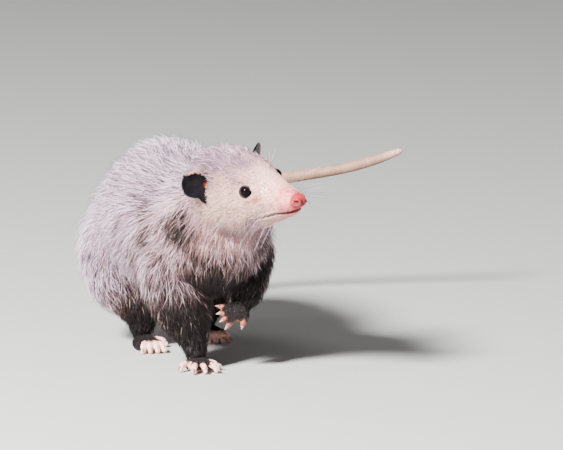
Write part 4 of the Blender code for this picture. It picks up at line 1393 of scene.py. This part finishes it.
def build_coat():
    """Underfur, coat and guard hair of the body."""
    coat_material()
    skin, wisp, guard_width = surfaces["skin"], size("hair_width"), size("guard_width")
    body = skin.density * ease(skin.length, 15, 20)
    plant("underfur", "coat", BODY_REGIONS, skin, 44000, 11, body, 0.6, 0.46, wisp * 0.8, 1,
          clump=0.4, tuft=7, stray=0.28)
    plant("coat", "coat", BODY_REGIONS, skin, 31000, 13, body, 0.84, 0.82, wisp * 0.72, 2,
          clump=0.5, tuft=6, stray=0.3)
    cream, dark = skin.marks[:, 0], skin.marks[:, 1]
    pale = skin.density * ease(skin.length, 13, 20) * (1 - 0.93 * ease(dark, 0.2, 0.85))
    pale *= 1 - 0.9 * cream
    plant("guard_hair", "coat", BODY_REGIONS, skin, 17000, 12, pale, 1.02, 1.15, guard_width, 2,
          guard=1.0, clump=0.3, tuft=5, stray=0.34)


def build_short_fur():
    """Fur of the head, legs and feet, and the ruff that hangs below the jaw."""
    skin = surfaces["skin"]
    f, _, u = to_head(skin.points).T
    on_head = ease(f, -30, -16) * (HEAD_FORM.locate(skin.points)[2] < 6)
    crown = skin.density * on_head * ease(f, 62, 40)
    ruff = skin.density * on_head * bell(np.abs(u + 20), 15) * ease(f, 46, 30) * ease(f, -34, -24)
    face = skin.density * on_head * ease(f, 10, 34)
    legs = skin.density * ease(skin.marks[:, 1], 0.45, 0.7) * (1 - on_head)
    plant("head_fur", "face", HEAD_REGIONS, skin, 22000, 21, crown, 0.9, 1.0, 0.2, 2,
          clump=0.35, tuft=6, stray=0.34)
    plant("ruff", "face", HEAD_REGIONS, skin, 5200, 24, ruff, 1.15, 1.0, 0.2, 2,
          clump=0.6, tuft=7, stray=0.34, hanging=True)
    plant("face_fur", "face", HEAD_REGIONS, skin, 22000, 22, face, 1.15, 0.95, 0.13, 1,
          clump=0.3, tuft=6, stray=0.3)
    plant("leg_fur", "dark_fur", BODY_REGIONS, skin, 13000, 23, legs, 0.95, 1.0, 0.36, 2,
          clump=0.4, tuft=7, stray=0.2)
    for name in PAWS:
        foot = surfaces[name]
        plant("foot_fur", "dark_fur", (whole_region, (name,)), foot, 1500, 24, foot.density,
              1.0, 1.0, 0.3, 1, clump=0.2)


def whisker_roots(draw):
    """Place near the skin, way out and share of the full length of each whisker, in the head's frame."""
    rows = []
    for _, side in SIDES:
        for row in range(4):
            for k in range(5):
                place = (80 - 4.6 * k - 0.8 * row, side * 14, -8.5 - 3.0 * row)
                rows.append((place, (-0.1 + 0.12 * draw.normal(), side, 0.25 - 0.25 * row), 0.4 + 0.12 * k))
        rows += [((46 + 2 * k, side * 12, 14), (0.1 - 0.3 * k, side * 0.8, 1), 0.44) for k in range(3)]
        rows += [((26 + 3 * k, side * 30, -14), (-0.2, side, -0.4 + 0.2 * k), 0.6) for k in range(3)]
    places, ways, shares = zip(*rows)
    return from_head(places), unit(np.array(ways) @ HEAD_FRAME[:3, :3].T), np.array(shares)


def build_whiskers():
    """Four rows on each side of the muzzle, with a few above the eyes and on the cheeks."""
    draw = np.random.default_rng(31)
    root, way, share = whisker_roots(draw)
    count, spots = len(root), 9
    place, normal, _ = surfaces["skin"].nearest(root)
    long = size("whisker_length") * share * draw.uniform(0.8, 1.15, count)
    t = np.linspace(0, 1, spots)
    bend = np.cross(way, normal) * draw.normal(0, 0.12, count)[:, None] + (0, 0, -0.22)
    lines = place[:, None] - normal[:, None] * ROOT_DEPTH + way[:, None] * (long[:, None] * t)[:, :, None]
    lines += bend[:, None] * (long[:, None] * t * t)[:, :, None]
    outs = np.repeat(normal[:, None], spots, 1)
    marks = np.zeros((count, 4))
    marks[:, 1] = draw.random(count) < 0.3
    whiskers = hair_mesh("whiskers", lines, outs, np.full(count, 0.12), marks, draw.random(count), place,
                         guard=1.0, flat=1.0)
    finished(whiskers, bpy.data.materials["coat_hair"])


# Floor, camera and lights

# Area lights: name, place, size and power. The key light is small, for the sunlit look of the coat
LIGHTS = (("key", (-1.85, -1.35, 1.8), 0.5, 520), ("fill", (2.2, -1.6, 1.2), 2.4, 8),
          ("rim", (-0.9, 2.0, 1.8), 1.2, 16))
LIT_PLACE, SKY_COLOUR, SKY_STRENGTH = (0, 0, 0.1), (0.93, 0.93, 0.95, 1), 0.2
SENSOR, FARTHEST_SEEN = 36, 100


def aimed(name, data, place, direction):
    """A camera or a light at a place, turned so that it looks in a direction."""
    obj = bpy.data.objects.new(name, data)
    obj.location = place
    obj.rotation_mode = "QUATERNION"
    obj.rotation_quaternion = Vector(direction).to_track_quat("-Z", "Y")
    bpy.context.scene.collection.objects.link(obj)
    return obj


def build_camera():
    """The camera at the photograph's angle and framing."""
    turn, rise = math.radians(CAMERA_TURN), math.radians(CAMERA_RISE)
    back = np.array((math.sin(turn) * math.cos(rise), -math.cos(turn) * math.cos(rise), math.sin(rise)))
    right = np.array((math.cos(turn), math.sin(turn), 0))
    up = np.cross(back, right)
    across, above = MIDDLE_PIXEL[0] - GROUND_PIXEL[0], GROUND_PIXEL[1] - MIDDLE_PIXEL[1]
    target = (right * across + up * above) / PIXELS_PER_MM
    lens = bpy.data.cameras.new("camera")
    lens.sensor_width = SENSOR
    lens.lens = PIXELS_PER_MM * CAMERA_AWAY / IMAGE_WIDTH * SENSOR
    lens.clip_end = FARTHEST_SEEN
    place = Vector((target + SHIFT + back * CAMERA_AWAY) * MM)
    bpy.context.scene.camera = aimed("camera", lens, place, -back)


def build_stage():
    """The plain floor, the camera, the lights and the pale surroundings."""
    bm = bmesh.new()
    bmesh.ops.create_grid(bm, x_segments=2, y_segments=2, size=40)
    floor = object_of("floor", bm)
    floor.data.materials.append(floor_material())
    build_camera()
    for name, place, wide, power in LIGHTS:
        light = bpy.data.lights.new(name, "AREA")
        light.size, light.energy = wide, power
        aimed(name, light, place, Vector(LIT_PLACE) - Vector(place))
    world = bpy.data.worlds.new("studio")
    world.use_nodes = True
    sky = world.node_tree.nodes["Background"]
    sky.inputs["Color"].default_value = SKY_COLOUR
    sky.inputs["Strength"].default_value = SKY_STRENGTH
    bpy.context.scene.world = world


# Operators and panel

class OPOSSUM_OT_skin(bpy.types.Operator):
    """Builds the skin that takes the place of the body's solids"""

    bl_idname, bl_label = "opossum.skin", "Skin"

    def execute(self, context):
        build_skin()
        return {"FINISHED"}


class OPOSSUM_OT_eyes(bpy.types.Operator):
    """Builds the two eyeballs"""

    bl_idname, bl_label = "opossum.eyes", "Eyes"

    def execute(self, context):
        build_eyes()
        return {"FINISHED"}


class OPOSSUM_OT_ears(bpy.types.Operator):
    """Builds the two bare ears"""

    bl_idname, bl_label = "opossum.ears", "Ears"

    def execute(self, context):
        build_ears()
        return {"FINISHED"}


class OPOSSUM_OT_feet(bpy.types.Operator):
    """Builds the feet and the claws"""

    bl_idname, bl_label = "opossum.feet", "Feet"

    def execute(self, context):
        build_feet()
        return {"FINISHED"}


class OPOSSUM_OT_tail(bpy.types.Operator):
    """Builds the scaled tail"""

    bl_idname, bl_label = "opossum.tail", "Tail"

    def execute(self, context):
        build_tail()
        return {"FINISHED"}


class OPOSSUM_OT_coat(bpy.types.Operator):
    """Grows the underfur, coat and guard hair of the body, after the skin"""

    bl_idname, bl_label = "opossum.coat", "Coat"

    def execute(self, context):
        build_coat()
        return {"FINISHED"}


class OPOSSUM_OT_short_fur(bpy.types.Operator):
    """Grows the fur of the head, legs and feet, after the coat"""

    bl_idname, bl_label = "opossum.short_fur", "Short fur"

    def execute(self, context):
        build_short_fur()
        return {"FINISHED"}


class OPOSSUM_OT_whiskers(bpy.types.Operator):
    """Sets the whiskers, after the coat"""

    bl_idname, bl_label = "opossum.whiskers", "Whiskers"

    def execute(self, context):
        build_whiskers()
        return {"FINISHED"}


class OPOSSUM_OT_stage(bpy.types.Operator):
    """Lays the floor and sets the lights and the camera"""

    bl_idname, bl_label = "opossum.stage", "Stage"

    def execute(self, context):
        build_stage()
        return {"FINISHED"}


OPERATORS = (OPOSSUM_OT_skin, OPOSSUM_OT_eyes, OPOSSUM_OT_ears, OPOSSUM_OT_feet, OPOSSUM_OT_tail,
             OPOSSUM_OT_coat, OPOSSUM_OT_short_fur, OPOSSUM_OT_whiskers, OPOSSUM_OT_stage)


class OPOSSUM_PT_pieces(bpy.types.Panel):
    """Lists the pieces in the order that they are built in, and their sizes and colours"""

    bl_label = "Opossum"
    bl_space_type, bl_region_type, bl_category = "VIEW_3D", "UI", "Opossum"

    def draw(self, context):
        for made in OPERATORS:
            self.layout.operator(made.bl_idname)
        for group in (context.scene.opossum_sizes, context.scene.opossum_colours):
            for name in group.__annotations__:
                self.layout.prop(group, name)


CLASSES = (OpossumColours, OpossumSizes, *OPERATORS, OPOSSUM_PT_pieces)


def register():
    for made in CLASSES:
        bpy.utils.register_class(made)
    bpy.types.Scene.opossum_colours = bpy.props.PointerProperty(type=OpossumColours)
    bpy.types.Scene.opossum_sizes = bpy.props.PointerProperty(type=OpossumSizes)


def unregister():
    del bpy.types.Scene.opossum_sizes
    del bpy.types.Scene.opossum_colours
    for made in reversed(CLASSES):
        bpy.utils.unregister_class(made)


def main():
    register()
    bpy.ops.opossum.skin()
    bpy.ops.opossum.eyes()
    bpy.ops.opossum.ears()
    bpy.ops.opossum.feet()
    bpy.ops.opossum.tail()
    bpy.ops.opossum.coat()
    bpy.ops.opossum.short_fur()
    bpy.ops.opossum.whiskers()
    bpy.ops.opossum.stage()


if __name__ == "__main__":
    main()
